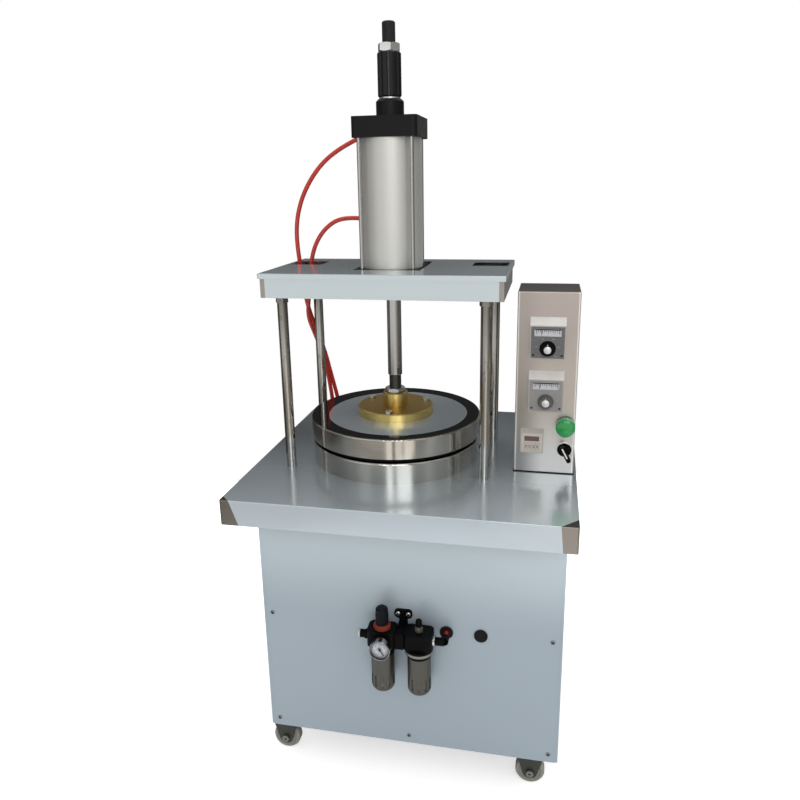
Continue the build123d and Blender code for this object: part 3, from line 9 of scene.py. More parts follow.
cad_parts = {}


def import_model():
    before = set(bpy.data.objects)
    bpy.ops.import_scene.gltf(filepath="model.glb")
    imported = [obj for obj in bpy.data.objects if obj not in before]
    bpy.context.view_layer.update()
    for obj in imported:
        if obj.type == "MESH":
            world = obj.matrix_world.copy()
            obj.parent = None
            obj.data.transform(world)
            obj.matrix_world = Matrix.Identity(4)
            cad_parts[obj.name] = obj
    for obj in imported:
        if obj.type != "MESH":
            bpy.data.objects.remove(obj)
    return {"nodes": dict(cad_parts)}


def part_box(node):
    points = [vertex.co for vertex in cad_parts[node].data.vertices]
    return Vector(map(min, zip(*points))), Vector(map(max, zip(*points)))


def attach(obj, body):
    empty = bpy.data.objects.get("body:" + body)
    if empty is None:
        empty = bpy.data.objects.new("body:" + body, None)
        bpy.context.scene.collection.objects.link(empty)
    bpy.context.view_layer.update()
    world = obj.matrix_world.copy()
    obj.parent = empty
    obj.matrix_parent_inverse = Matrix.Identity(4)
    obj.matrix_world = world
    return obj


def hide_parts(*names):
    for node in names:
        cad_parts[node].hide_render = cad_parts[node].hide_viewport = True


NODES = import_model()["nodes"]
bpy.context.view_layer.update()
MM = 0.001
FRONT, UP = (0, -1, 0), (0, 0, 1)
FRONT_TURN = Matrix.Rotation(math.pi / 2, 4, "X")
CORNERS = ("front_left", "front_right", "rear_left", "rear_right")

# Camera, fitted to the photograph's straight edges
FRAME_PIXELS = 800
FOCAL_PIXELS = 712.776
CENTRE_PIXEL = (403.989, 371.455)
CAMERA_PLACE = (0.283702, -1.538192, 1.2859)
CAMERA_YAW = 0.20532
CAMERA_PITCH = 0.26062
CAMERA_ROLL = -0.01611
SENSOR_MM = 36.0


def middle(node):
    """Centre of a CAD node's box."""
    low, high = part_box(node)
    return (low + high) / 2


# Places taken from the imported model
PRESS = middle("cylinder_barrel")
TABLE_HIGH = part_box("table_top")[1]
COVER_LOW, COVER_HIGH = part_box("platform_cover")
BOX_LOW, BOX_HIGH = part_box("control_box")
CONTROLLER_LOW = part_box("temperature_controllers")[0]

# Small sizes repeated from the solids, in metres
CONTROLLER_FACE_H = 0.071
CONTROLLER_STEP = 0.113
TIMER_FACE_H = 0.046
STOP_NUT_H = 0.016
ROD_NECK = 0.029
LOCK_RING_H = 0.0092
UNIT_HALF_W = 0.0295
LUBRICATOR_NECK_R = 0.029
GROMMET_R = 0.014
AXLE_NUT_H = 0.004
CONTROLLER_BOTTOMS = {"lower": CONTROLLER_LOW.z, "upper": CONTROLLER_LOW.z + CONTROLLER_STEP}

# Hose routes in millimetres, from fitting to fitting
HOSE_DIAMETER = 0.010
HOSE_ROUTES = {
    "hose_upper": [
        (-82, 80.5, 1393.5), (-109, 80.5, 1393.5), (-150, 79.5, 1380), (-194, 77, 1358),
        (-228, 75, 1334), (-255, 73, 1304), (-277, 71, 1269), (-292, 69, 1232), (-300, 67, 1193),
        (-300.5, 65, 1152), (-296, 64, 1107), (-294, 73, 1062), (-297, 96, 1018),
        (-297, 123, 974), (-287, 143, 926), (-273, 154, 870), (-262, 160.5, 812),
        (-250.5, 165, 756), (-239.5, 166, 703), (-234, 166, 660), (-234, 166, 618),
    ],
    "hose_lower": [
        (-55, 80.5, 1113.5), (-55, 80.5, 1150.5), (-69, 82, 1178), (-93.5, 84, 1196),
        (-130, 85, 1203), (-168, 83.5, 1207), (-206, 80, 1203), (-236, 76, 1181),
        (-257, 72, 1150), (-269, 68, 1110), (-274, 70, 1062), (-285, 81, 1014),
        (-296.5, 104, 968), (-290.5, 130.5, 922), (-277, 143, 872), (-267.5, 149, 820),
        (-262.5, 157, 766), (-259.5, 163.5, 713), (-258, 166, 660), (-258, 166, 618),
    ],
    "hose_supply": [
        (98, -274, 378), (98, -245.5, 378), (95, -200, 373), (78, -152, 364), (45, -112, 360),
        (0, -85, 366), (-50, -62, 386), (-100, -40, 416), (-147, -18, 452), (-188, 4, 492),
        (-218, 30, 530), (-238, 62, 563), (-246, 97, 583), (-246, 133, 583),
    ],
}


class Nodes:
    """Short ways to build the nodes of a shader."""

    def __init__(self, tree):
        self.tree = tree

    def node(self, kind, **settings):
        made = self.tree.nodes.new(kind)
        for name, value in settings.items():
            setattr(made, name, value)
        return made

    def link(self, source, target):
        self.tree.links.new(source, target)

    def feed(self, socket, value):
        """Give a socket a number, a colour or another socket."""
        if hasattr(value, "is_linked"):
            self.link(value, socket)
        else:
            socket.default_value = (*value, 1.0) if isinstance(value, tuple) else value

    def math(self, operation, first, second=0.0):
        made = self.node("ShaderNodeMath", operation=operation)
        self.feed(made.inputs[0], first)
        self.feed(made.inputs[1], second)
        return made.outputs[0]

    plus = partialmethod(math, "ADD")
    minus = partialmethod(math, "SUBTRACT")
    times = partialmethod(math, "MULTIPLY")
    over = partialmethod(math, "DIVIDE")
    larger = partialmethod(math, "MAXIMUM")
    smaller = partialmethod(math, "MINIMUM")
    size = partialmethod(math, "ABSOLUTE")

    def wave(self, value, rate):
        return self.math("SINE", self.times(value, rate))

    def radius(self, across, along):
        return self.math("SQRT", self.plus(self.times(across, across), self.times(along, along)))

    def split(self, vector):
        """X, Y and Z of a vector."""
        made = self.node("ShaderNodeSeparateXYZ")
        self.link(vector, made.inputs[0])
        return made.outputs

    def span(self, value, low, high, out_low=0.0, out_high=1.0):
        """Map a value from one pair of limits to another, clamped and smoothed."""
        made = self.node("ShaderNodeMapRange", interpolation_type="SMOOTHSTEP")
        self.feed(made.inputs[0], value)
        for socket, limit in zip(made.inputs[1:5], (low, high, out_low, out_high)):
            socket.default_value = limit
        return made.outputs[0]

    def mix(self, share, first, second):
        """Blend two colours, or sockets that carry colours."""
        made = self.node("ShaderNodeMix", data_type="RGBA")
        self.feed(made.inputs[0], share)
        self.feed(made.inputs[6], first)
        self.feed(made.inputs[7], second)
        return made.outputs[2]


class Look(Nodes):
    """A material around one Principled shader, with coordinates in metres of the object's frame."""

    def __init__(self, name, color, metallic, roughness, **sockets):
        self.material = bpy.data.materials.new(name)
        self.material.use_nodes = True
        super().__init__(self.material.node_tree)
        self.shader = self.tree.nodes["Principled BSDF"]
        sockets.update(Base_Color=(*color, 1.0), Metallic=metallic, Roughness=roughness)
        for socket, value in sockets.items():
            self.shader.inputs[socket.replace("_", " ")].default_value = value
        self.place = self.node("ShaderNodeTexCoord").outputs["Object"]

    def axes(self):
        """X, Y and Z of the place on the surface."""
        return self.split(self.place)

    def level(self):
        """One on faces that look up or down, nought on upright ones."""
        normal = self.split(self.node("ShaderNodeNewGeometry").outputs["Normal"])
        return self.span(self.size(normal[2]), 0.5, 0.9)

    def noise(self, scale, detail=3, stretch=(1, 1, 1)):
        """Noise whose pattern is drawn out along the axes with a small stretch value."""
        mapping = self.node("ShaderNodeMapping")
        self.link(self.place, mapping.inputs["Vector"])
        mapping.inputs["Scale"].default_value = stretch
        made = self.node("ShaderNodeTexNoise")
        self.link(mapping.outputs[0], made.inputs["Vector"])
        made.inputs["Scale"].default_value = scale
        made.inputs["Detail"].default_value = detail
        return made.outputs[0]

    def spread(self, noise, low=0.0, high=1.0, margin=0.3):
        """Stretch the middle of a noise over a range."""
        return self.span(noise, margin, 1 - margin, low, high)

    def above(self, value, limit, soft=0.0002):
        """One past a limit and nought before it."""
        return self.span(value, limit - soft, limit + soft)

    def below(self, value, limit, soft=0.0002):
        """One before a limit and nought past it."""
        return self.span(value, limit - soft, limit + soft, 1.0, 0.0)

    def between(self, value, low, high, soft=0.0001):
        """One from a low to a high limit and nought outside."""
        return self.times(self.above(value, low - soft, soft), self.below(value, high + soft, soft))

    def fade(self, share, start, end):
        """From one number to another as a share rises from nought to one."""
        return self.span(share, 0.0, 1.0, start, end)

    def drive(self, socket, source):
        """Let another socket give one of the shader's values."""
        self.link(source, self.shader.inputs[socket])

    color = partialmethod(drive, "Base Color")
    rough = partialmethod(drive, "Roughness")
    metal = partialmethod(drive, "Metallic")

    def bump(self, height, strength, distance=0.0003):
        """Raise the surface and give the finished material."""
        made = self.node("ShaderNodeBump")
        made.inputs["Strength"].default_value = strength
        made.inputs["Distance"].default_value = distance
        self.link(height, made.inputs["Height"])
        self.drive("Normal", made.outputs[0])
        return self.material


FILM = (0.58, 0.65, 0.685)
FILM_SHADE = (0.53, 0.595, 0.63)
BARE_STEEL = (0.34, 0.315, 0.285)
BLACK, WHITE = (0.0, 0.0, 0.0), (1.0, 1.0, 1.0)


def scaled(color, *factors):
    """A colour times one factor, or times one for each channel."""
    return tuple(factor * c for c, factor in zip(color, factors * 3))


def plain(name, color, roughness, metallic=0.0, grain=900, depth=0.12, **sockets):
    """Moulded plastic or paint: mottled colour, uneven gloss and a fine grain."""
    look = Look(name, color, metallic, roughness, **sockets)
    lighter = tuple(1.08 * c + 0.004 for c in color)
    look.color(look.mix(look.noise(24), scaled(color, 0.86), lighter))
    look.rough(look.spread(look.noise(60), roughness * 0.88, roughness * 1.12))
    return look.bump(look.noise(grain, 2), depth, distance=0.0004)


def brushed(name, color, roughness, along=1.0, depth=0.05, grain=260, tone=0.12, spread=0.22,
            metallic=1.0):
    """Metal with fine upright lines, the longer the smaller the noise's scale along them."""
    look = Look(name, color, metallic, roughness)
    lines = look.noise(grain, stretch=(1, 1, along))
    look.color(look.mix(look.noise(5), scaled(color, 1 - tone), color))
    keen, dull = roughness * (1 - spread), roughness * (1 + spread)
    look.rough(look.spread(lines, keen, dull, margin=0.25))
    return look.bump(lines, depth)


def film_look(name, roughness, metallic, wave, coat=0.25, shade=FILM_SHADE, light=FILM):
    """Stainless sheet under a pale protective film, with soft gloss and slow waves.
    Gives the look and its clouded tint, which isn't linked yet."""
    look = Look(name, FILM, metallic, roughness, Coat_Weight=coat, Coat_Roughness=0.12)
    tint = look.mix(look.spread(look.noise(1.7, 0)), shade, light)
    x, y, z = look.axes()
    across = look.wave(look.plus(x, y), 9.0)
    along = look.wave(look.minus(z, y), 13.0)
    look.bump(look.times(across, along), wave, distance=0.002)
    look.rough(look.spread(look.noise(5, 0), roughness * 0.85, roughness * 1.2))
    return look, tint


def bare_where(look, tint, mask, top):
    """Show bare steel instead of film where the mask is one, with painted shade darkening it on top.
    """
    drawn = look.noise(300, stretch=(0.05, 0.05, 1))
    steel = look.mix(drawn, BARE_STEEL, scaled(BARE_STEEL, 1.15))
    # Painted shade: bare steel on the top face is darkened.
    steel = look.mix(top, steel, scaled(BARE_STEEL, 0.25))
    look.color(look.mix(mask, tint, steel))
    return look.material


def table_film():
    """Film of the worktop, cut back at its corners. It carries painted light and shade: darker
    towards the left, paler on its edges than on its top, and with less metal towards the front so
    that the top reads brighter there.
    """
    left_strip, left_slant = 0.020, 0.35
    right_strip, right_slant = 0.033, -0.09
    corner = TABLE_HIGH.x + TABLE_HIGH.y
    look, tint = film_look("worktop_film", 0.19, 0.62, wave=0.10)
    x, y, z = look.axes()
    drop = look.minus(TABLE_HIGH.z, z)
    right = look.above(x, 0.0, soft=0.01)
    strip = look.plus(look.fade(right, left_strip, right_strip),
                      look.times(drop, look.fade(right, left_slant, right_slant)))
    reach = look.plus(look.size(x), look.size(y))
    bare = look.above(look.plus(reach, strip), corner, soft=0.0004)
    top = look.level()
    # Painted light: less metal towards the front lets the pale film show more, so the front of the
    # top reads brighter.
    front_brightening_metal = look.span(y, -0.34, 0.06, 0.52, 0.86)
    filmed = look.plus(look.times(top, front_brightening_metal), look.fade(top, 0.35, 0.0))
    look.metal(look.larger(bare, filmed))
    # Painted shade: the film darkens towards the left of the worktop.
    tint = look.mix(look.span(x, -TABLE_HIGH.x, -0.12, 0.20, 0.0), tint, BLACK)
    # Painted light: the edges take a paler film colour than the top.
    tint = look.mix(top, scaled(FILM, 1.13, 1.14, 1.18), tint)
    return bare_where(look, tint, bare, top)


def cover_film():
    """Film of the platform cover, cut back at the ends of its skirt, with painted light making the
    skirt paler than the top.
    """
    strip, skirt_drop = 0.014, 0.0115
    look, tint = film_look("cover_film", 0.15, 0.62, wave=0.08)
    axes = look.axes()
    across = look.size(look.minus(axes[0], PRESS.x))
    end = look.above(across, COVER_HIGH.x - PRESS.x - strip, soft=0.0004)
    skirt = look.below(axes[2], COVER_HIGH.z - skirt_drop, soft=0.0003)
    top = look.level()
    # Painted light: the skirt takes a paler film colour than the top.
    tint = look.mix(top, scaled(FILM, 1.09), tint)
    return bare_where(look, tint, look.times(end, skirt), top)


def panel_film():
    """Film of the cabinet's panels, with painted shade darkening it lower down."""
    shade, light = scaled(FILM, 1.09, 1.12, 1.15), scaled(FILM, 1.16, 1.19, 1.23)
    deep = scaled(FILM, 0.70, 0.74, 0.79)
    look, tint = film_look("cabinet_film", 0.34, 0.15, 0.08, coat=0.1, shade=shade, light=light)
    # Painted shade: the film turns to a deeper tone lower down the panels.
    look.color(look.mix(look.span(look.axes()[2], 0.38, 0.60), deep, tint))
    return look.material


def disc_film():
    """Film left on the upper platen."""
    shade, light = scaled(FILM_SHADE, 1.16), scaled(FILM, 1.16)
    look, tint = film_look("platen_film", 0.20, 0.62, wave=0.05, shade=shade, light=light)
    look.color(tint)
    return look.material


def column_look():
    """Ground column with small specks, darkened by painted shade under the platform."""
    ground, under_cover_shade, speck = (0.60, 0.585, 0.56), (0.25, 0.235, 0.21), (0.12, 0.11, 0.10)
    look = Look("ground_column", ground, 1.0, 0.10)
    lines = look.noise(700, stretch=(1, 1, 0.02))
    clean = look.mix(look.noise(5), scaled(ground, 0.8), ground)
    # Painted shade: the column darkens towards the underside of the platform cover.
    under_cover = look.span(look.axes()[2], COVER_LOW.z - 0.165, COVER_LOW.z - 0.01)
    specks = look.span(look.noise(120, stretch=(1, 1, 0.4)), 0.58, 0.74, 0.0, 0.4)
    look.color(look.mix(specks, look.mix(under_cover, clean, under_cover_shade), speck))
    look.rough(look.spread(lines, 0.08, 0.12, margin=0.25))
    return look.bump(lines, 0.012)


def controller_look():
    """Controller cases with pale hoods over duller rims."""
    hood, rim = (0.78, 0.76, 0.74), (0.50, 0.47, 0.445)
    overlap, hood_h = 0.001, 0.0315
    look = Look("controller_case", hood, 0.0, 0.42)
    z = look.axes()[2]
    lower, upper = (bottom + CONTROLLER_FACE_H - overlap for bottom in CONTROLLER_BOTTOMS.values())
    lower_hood = look.times(look.above(z, lower), look.below(z, lower + hood_h, soft=0.0005))
    tint = look.mix(look.larger(lower_hood, look.above(z, upper)), rim, hood)
    look.color(look.mix(look.spread(look.noise(40, 2), 0.0, 0.08), tint, BLACK))
    look.rough(look.spread(look.noise(90, 2), 0.38, 0.46))
    return look.bump(look.noise(900, 2), 0.1)


def rod_look():
    """Hard-chromed rod whose tail is blackened and whose ends carry threads."""
    chrome, dim_chrome = (0.50, 0.50, 0.49), (0.42, 0.42, 0.41)
    black, oiled = (0.010, 0.010, 0.011), (0.10, 0.10, 0.095)
    pitch = 0.002
    tail_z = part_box("stop_washer")[0].z
    neck_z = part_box("flange_fasteners")[1].z + ROD_NECK
    look = Look("rod_steel", chrome, 1.0, 0.14)
    z = look.axes()[2]
    tail = look.span(z, tail_z - 0.002, tail_z)
    neck = look.below(z, neck_z, soft=0.0005)
    ends = look.larger(tail, neck)
    steel = look.mix(look.noise(30, stretch=(1, 1, 0.2)), dim_chrome, chrome)
    look.color(look.mix(neck, look.mix(tail, steel, black), oiled))
    look.metal(look.fade(tail, 1.0, 0.25))
    look.rough(look.fade(ends, 0.12, 0.40))
    threads = look.times(look.wave(z, 2 * math.pi / pitch), ends)
    return look.bump(threads, 0.5, distance=0.0006)


def sleeve_look():
    """Black stop sleeve under a bright locknut."""
    black, oiled = (0.006, 0.006, 0.007), (0.012, 0.012, 0.013)
    zinc, dim_zinc = (0.96, 0.96, 0.96), (0.76, 0.76, 0.76)
    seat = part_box("stop_sleeve")[1].z - STOP_NUT_H
    look = Look("stop_sleeve", black, 0.0, 0.2, Specular_IOR_Level=0.3)
    nut = look.span(look.axes()[2], seat - 0.0002, seat + 0.0001)
    sleeve = look.mix(look.noise(35), black, oiled)
    look.color(look.mix(nut, sleeve, look.mix(look.noise(90), zinc, dim_zinc)))
    look.metal(nut)
    look.rough(look.spread(look.noise(50), 0.14, 0.24))
    return look.bump(look.noise(300, 2), 0.02)


def screw_look():
    """Dark panel screws, and the bright pair that holds the air unit's bracket."""
    dark, wear_and_highlight, bright = (0.26, 0.26, 0.27), (0.34, 0.34, 0.35), (0.82, 0.82, 0.82)
    low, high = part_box("air_unit_bracket")
    look = Look("panel_screws", dark, 1.0, 0.32)
    axes = look.axes()
    pair = look.times(look.between(axes[0], low.x, high.x), look.between(axes[2], low.z, high.z))
    look.color(look.mix(pair, look.mix(look.noise(200), dark, wear_and_highlight), bright))
    look.rough(look.spread(look.noise(150), 0.29, 0.4))
    return look.bump(look.noise(900, 2), 0.08, distance=0.0002)


def turned_look(name, color, roughness, pitch, depth, tone=0.14):
    """Metal faced on a lathe: faint rings about the press's axis."""
    look = Look(name, color, 1.0, roughness)
    x, y, z = look.axes()
    radius = look.radius(look.minus(x, PRESS.x), look.minus(y, PRESS.y))
    rings = look.wave(look.plus(radius, z), 2 * math.pi / pitch)
    look.color(look.mix(look.noise(18, 4), scaled(color, 1 - tone), color))
    look.rough(look.spread(look.noise(40), roughness * 0.9, roughness * 1.1))
    return look.bump(rings, depth, distance=0.0002)


def brass_look():
    """Brass flange, rougher on its faced top than on its turned sides, and darkened on top by
    painted shade.
    """
    turned, faced = (1.0, 0.76, 0.27), (0.38, 0.255, 0.08)
    look = Look("brass", turned, 1.0, 0.36)
    top = look.level()
    cloud = look.noise(14, 2)
    side = look.mix(cloud, scaled(turned, 0.85), turned)
    # Painted shade: the faced top takes a much darker brass colour than the sides.
    look.color(look.mix(top, side, look.mix(cloud, scaled(faced, 0.88), faced)))
    look.rough(look.fade(top, 0.30, 0.46))
    return look.bump(look.noise(500, 2, (0.2, 0.2, 1)), 0.02, distance=0.0002)


def platen_look():
    """Platen band rolled and polished round its axis, with painted shade darkening the mirror on its
    top.
    """
    polished = (0.68, 0.655, 0.605)
    look = Look("platen_band", polished, 1.0, 0.15, Anisotropic=0.9, Anisotropic_Rotation=0.25)
    tangent = look.node("ShaderNodeTangent", direction_type="RADIAL", axis="Z")
    look.drive("Tangent", tangent.outputs[0])
    lines = look.noise(900, stretch=(0.03, 0.03, 1))
    side = look.mix(look.noise(5), scaled(polished, 0.90), polished)
    top = look.level()
    # Painted shade: the top face takes a far darker colour than the band.
    look.color(look.mix(top, side, scaled(polished, 0.27)))
    rolled = look.spread(lines, 0.13, 0.18, margin=0.25)
    look.rough(look.times(rolled, look.fade(top, 1.0, 0.35)))
    return look.bump(lines, 0.010)


def box_look():
    """Satin sheet of the control box, with painted light and shade: darker towards its top and its
    left, a dark top face, and painted highlights along its vertical folds.
    """
    upper, middle, foot = (0.52, 0.465, 0.44), (0.58, 0.54, 0.505), (0.68, 0.66, 0.635)
    wear_and_highlight = (0.98, 0.96, 0.94)
    look = Look("box_stainless", middle, 0.85, 0.30)
    axes = look.axes()
    x = axes[0]
    rise = look.over(look.minus(axes[2], BOX_LOW.z), BOX_HIGH.z - BOX_LOW.z)
    # Painted light and shade: the front darkens from its foot towards its top.
    high_tone = look.mix(look.span(rise, 0.45, 0.80), middle, upper)
    tone = look.mix(look.span(rise, 0.08, 0.45), foot, high_tone)
    # Painted shade: the front darkens towards its left side.
    left = look.span(x, BOX_LOW.x + 0.008, (BOX_LOW.x + BOX_HIGH.x) / 2, 1.0, 0.0)
    shaded = look.mix(look.times(left, look.span(rise, 0.0, 0.9, 0.58, 0.12)), tone, BLACK)
    # Painted highlight: pale strips along the vertical folds.
    from_edge = look.smaller(look.minus(x, BOX_LOW.x), look.minus(BOX_HIGH.x, x))
    fold_highlight = look.span(from_edge, 0.0020, 0.0055, 1.0, 0.0)
    # Painted shade: the top face is darkened.
    look.color(look.mix(look.level(), look.mix(fold_highlight, shaded, wear_and_highlight), scaled(upper, 0.36)))
    look.rough(look.spread(look.noise(9, 1), 0.29, 0.36))
    return look.bump(look.noise(60, 2, (1, 1, 0.2)), 0.01)


def hose_look():
    """Red polyurethane tube, a little see-through, with a soft gloss."""
    red, deep, light = (0.62, 0.035, 0.022), (0.55, 0.028, 0.018), (0.72, 0.05, 0.03)
    look = Look("red_tube", red, 0.0, 0.28, Coat_Weight=0.3, Coat_Roughness=0.15,
                Subsurface_Weight=0.25, Subsurface_Radius=(0.004, 0.001, 0.0008))
    look.color(look.mix(look.noise(40), deep, light))
    return look.bump(look.noise(500, 2, (1, 1, 0.1)), 0.05)


def regulator_look():
    """Black knob with an orange lock ring at its foot."""
    black, wear_and_highlight = (0.003, 0.004, 0.007), (0.005, 0.006, 0.010)
    orange, light_orange = (0.19, 0.034, 0.020), (0.24, 0.045, 0.025)
    look = Look("regulator_knob", black, 0.0, 0.42, Specular_IOR_Level=0.15)
    ring_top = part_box("regulator_knob")[0].z + LOCK_RING_H
    lock_ring = look.mix(look.noise(60), orange, light_orange)
    grip = look.mix(look.noise(50), black, wear_and_highlight)
    look.color(look.mix(look.below(look.axes()[2], ring_top), grip, lock_ring))
    return look.bump(look.noise(800, 2), 0.12, distance=0.0004)


def clear_look(name, color, roughness, alpha, through=0.4):
    """Clear plastic or glass, as a thin tinted gloss."""
    look = Look(name, color, 0.0, roughness, Alpha=alpha, Transmission_Weight=through, IOR=1.45)
    look.rough(look.spread(look.noise(60), roughness * 0.7, roughness * 1.4))
    return look.bump(look.noise(80, 2), 0.02, distance=0.0004)


MATERIALS = {
    "worktop": table_film(),
    "cover": cover_film(),
    "panel": panel_film(),
    "disc_film": disc_film(),
    "box": box_look(),
    "platen_band": platen_look(),
    "column": column_look(),
    "rod": rod_look(),
    "tie_rod": brushed("tie_rod_steel", (0.50, 0.50, 0.49), 0.22, 0.02, depth=0.02, grain=700),
    "plate": plain("painted_plate", (0.045, 0.046, 0.05), 0.5),
    "zinc": brushed("zinc", (0.74, 0.74, 0.74), 0.36, 0.3),
    "nut": brushed("dull_nut", (0.30, 0.295, 0.28), 0.36, 0.3),
    "cast": turned_look("cast_aluminium", (0.50, 0.49, 0.47), 0.38, pitch=0.0012, depth=0.05),
    "barrel": brushed("drawn_barrel", (0.74, 0.74, 0.705), 0.44, 0.01, depth=0.004, grain=900,
                      tone=0.05, spread=0.06, metallic=0.64),
    "enamel": plain("black_enamel", (0.008, 0.008, 0.009), 0.38, depth=0.06,
                    Specular_IOR_Level=0.16),
    "sleeve": sleeve_look(),
    "screw": screw_look(),
    "brass": brass_look(),
    "hose": hose_look(),
    "black": plain("black_plastic", (0.0020, 0.0020, 0.0025), 0.42, depth=0.08,
                   Specular_IOR_Level=0.06),
    "rubber": plain("black_rubber", (0.007, 0.007, 0.007), 0.6, Specular_IOR_Level=0.15),
    "regulator": regulator_look(),
    "bowl": clear_look("smoky_bowl", (0.30, 0.29, 0.24), 0.12, alpha=0.5),
    "guard": brushed("guard_metal", (0.138, 0.134, 0.118), 0.36, 0.03, depth=0.02, grain=700),
    "gauge": brushed("gauge_case", (0.36, 0.37, 0.39), 0.20, depth=0.02),
    "needle": plain("needle_black", (0.006, 0.006, 0.006), 0.4, Specular_IOR_Level=0.2),
    "controller": controller_look(),
    "faint": plain("faint_print", (0.42, 0.42, 0.43), 0.42),
    "face": plain("instrument_face", (0.150, 0.150, 0.160), 0.4),
    # Painted glare: the lower controller's face and knob are made paler than the upper one's.
    "glare_face": plain("glare_washed_instrument_face", (0.32, 0.31, 0.305), 0.4),
    "glare_knob": plain("glare_washed_knob", (0.12, 0.12, 0.12), 0.4),
    "beige": plain("beige_case", (0.52, 0.475, 0.42), 0.42),
    "cream": plain("cream_print", (0.64, 0.60, 0.545), 0.45),
    "dial": plain("dial_white", (0.66, 0.68, 0.73), 0.42),
    "white": plain("white_print", (0.84, 0.84, 0.82), 0.42),
    "green": plain("green_button", (0.010, 0.330, 0.070), 0.12, grain=300, depth=0.03,
                   Coat_Weight=0.5),
    "chrome": brushed("bright_chrome", (0.82, 0.82, 0.82), 0.14, depth=0.01, tone=0.04),
    "satin": turned_look("satin_cap", (0.86, 0.86, 0.86), 0.42, pitch=0.0009, depth=0.03,
                         tone=0.06),
    "red_window": plain("red_window", (0.10, 0.018, 0.014), 0.14, Coat_Weight=0.6),
    "glass": clear_look("clear_pane", (0.9, 0.92, 0.92), 0.03, alpha=0.10, through=1.0),
    "tread": plain("grey_tread", (0.33, 0.325, 0.285), 0.55, grain=240),
    "fork": plain("caster_fork", (0.050, 0.056, 0.044), 0.42, metallic=0.2),
    "dull": plain("dull_zinc", (0.30, 0.30, 0.275), 0.4, metallic=0.8),
    "oil": clear_look("bowl_oil", (0.55, 0.40, 0.14), 0.05, alpha=0.55),
}

NODE_LOOKS = {
    "worktop": ["table_top"],
    "cover": ["platform_cover"],
    "panel": ["front_panel", "cabinet_left_panel", "cabinet_right_panel", "cabinet_back_panel"],
    "box": ["control_box"],
    "platen_band": ["lower_platen_shell", "upper_platen_shell"],
    "column": [f"column_{corner}" for corner in CORNERS],
    "rod": ["piston_rod"],
    "tie_rod": ["tie_rods"],
    "plate": ["platform_plate", "cabinet_floor"],
    "zinc": ["flange_fasteners", "stop_washer", "caster_plates"],
    "nut": ["frame_nuts"],
    "screw": ["panel_screws"],
    "cast": ["lower_heating_plate", "upper_heating_plate", "piston"],
    "barrel": ["cylinder_barrel"],
    "enamel": ["cylinder_bottom_cap", "cylinder_top_cap"],
    "sleeve": ["stop_sleeve"],
    "brass": ["platen_flange", "rod_bush"],
    "black": ["air_unit_bodies", "lubricator_knob", "air_fittings", "air_valve", "air_unit_bracket",
              "operator_collars", "selector_switch", "upper_temperature_knob"],
    "glare_knob": ["lower_temperature_knob"],
    "regulator": ["regulator_knob"],
    "bowl": ["clear_bowls"],
    "guard": ["bowl_guards"],
    "gauge": ["gauge_case"],
    "needle": ["gauge_needle"],
    "controller": ["temperature_controllers"],
    "beige": ["press_timer"],
    "green": ["start_button"],
    "rubber": ["grommets"],
    "fork": [f"caster_fork_{corner}" for corner in CORNERS],
    "tread": [f"caster_wheel_{corner}" for corner in CORNERS],
}


def dress_nodes():
    """Give each CAD node its material."""
    for key, names in NODE_LOOKS.items():
        for name in names:
            slots = NODES[name].data.materials
            slots.clear()
            slots.append(MATERIALS[key])


def placed(name, data):
    """A new object in the scene."""
    made = bpy.data.objects.new(name, data)
    bpy.context.scene.collection.objects.link(made)
    return made


def piece(name, mesh, material, body):
    """A new mesh object that rides on a body."""
    made = placed(name, mesh)
    mesh.materials.append(MATERIALS[material])
    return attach(made, body)


def from_bmesh(name, work, material, body="frame", smooth=False):
    """Finish a bmesh as a piece."""
    mesh = bpy.data.meshes.new(name)
    bmesh.ops.recalc_face_normals(work, faces=work.faces)
    for face in work.faces:
        face.smooth = smooth
    work.to_mesh(mesh)
    work.free()
    return piece(name, mesh, material, body)


def merged(name, pieces):
    """Join pieces of one body and one material into a single object."""
    first = pieces[0]
    with bpy.context.temp_override(active_object=first, selected_editable_objects=pieces):
        bpy.ops.object.join()
    first.name = name


def circle(steps):
    """Angles of even steps round a circle."""
    return [2 * math.pi * step / steps for step in range(steps)]


def bridge(work, loops):
    """Quads from each loop of vertices to the next."""
    for low, high in zip(loops, loops[1:]):
        for step, after in enumerate([*range(1, len(low)), 0]):
            work.faces.new((low[step], low[after], high[after], high[step]))


SHARP_ANGLE = math.radians(35.0)
PINHOLE = 0.0001
PRINT_H = 0.00008


def lathe(name, outline, centre, axis, material, body="frame", steps=64, ripple=None, sharp=True):
    """Closed solid of revolution from points of radius and height along an axis.
    A ripple of count, depth and least radius presses flutes into the larger radii."""
    count, depth, least = ripple or (0, 0.0, math.inf)
    work = bmesh.new()
    loops = []
    for radius, height in outline:
        loop = []
        for angle in circle(steps):
            r = radius
            if radius > least:
                r -= depth * (0.5 - 0.5 * math.cos(count * angle))
            loop.append(work.verts.new((r * math.cos(angle), r * math.sin(angle), height)))
        loops.append(loop)
    bridge(work, loops + loops[:1])
    turn = Vector(UP).rotation_difference(Vector(axis)).to_matrix().to_4x4()
    work.transform(Matrix.Translation(Vector(centre)) @ turn)
    made = from_bmesh(name, work, material, body, smooth=True)
    if sharp:
        made.data.set_sharp_from_angle(angle=SHARP_ANGLE)
    return made


def ring(name, radii, depth, centre, axis, material, body="frame", edge=0.0004, steps=64):
    """Bevelled ring, or a disc with a small bore, from its outer and inner radius."""
    outer, inner = radii
    outline = [(inner, 0.0), (outer, 0.0), (outer, depth - edge), (outer - edge, depth),
               (inner + edge * 0.5, depth), (inner, depth - edge * 0.5)]
    return lathe(name, outline, centre, axis, material, body, steps)


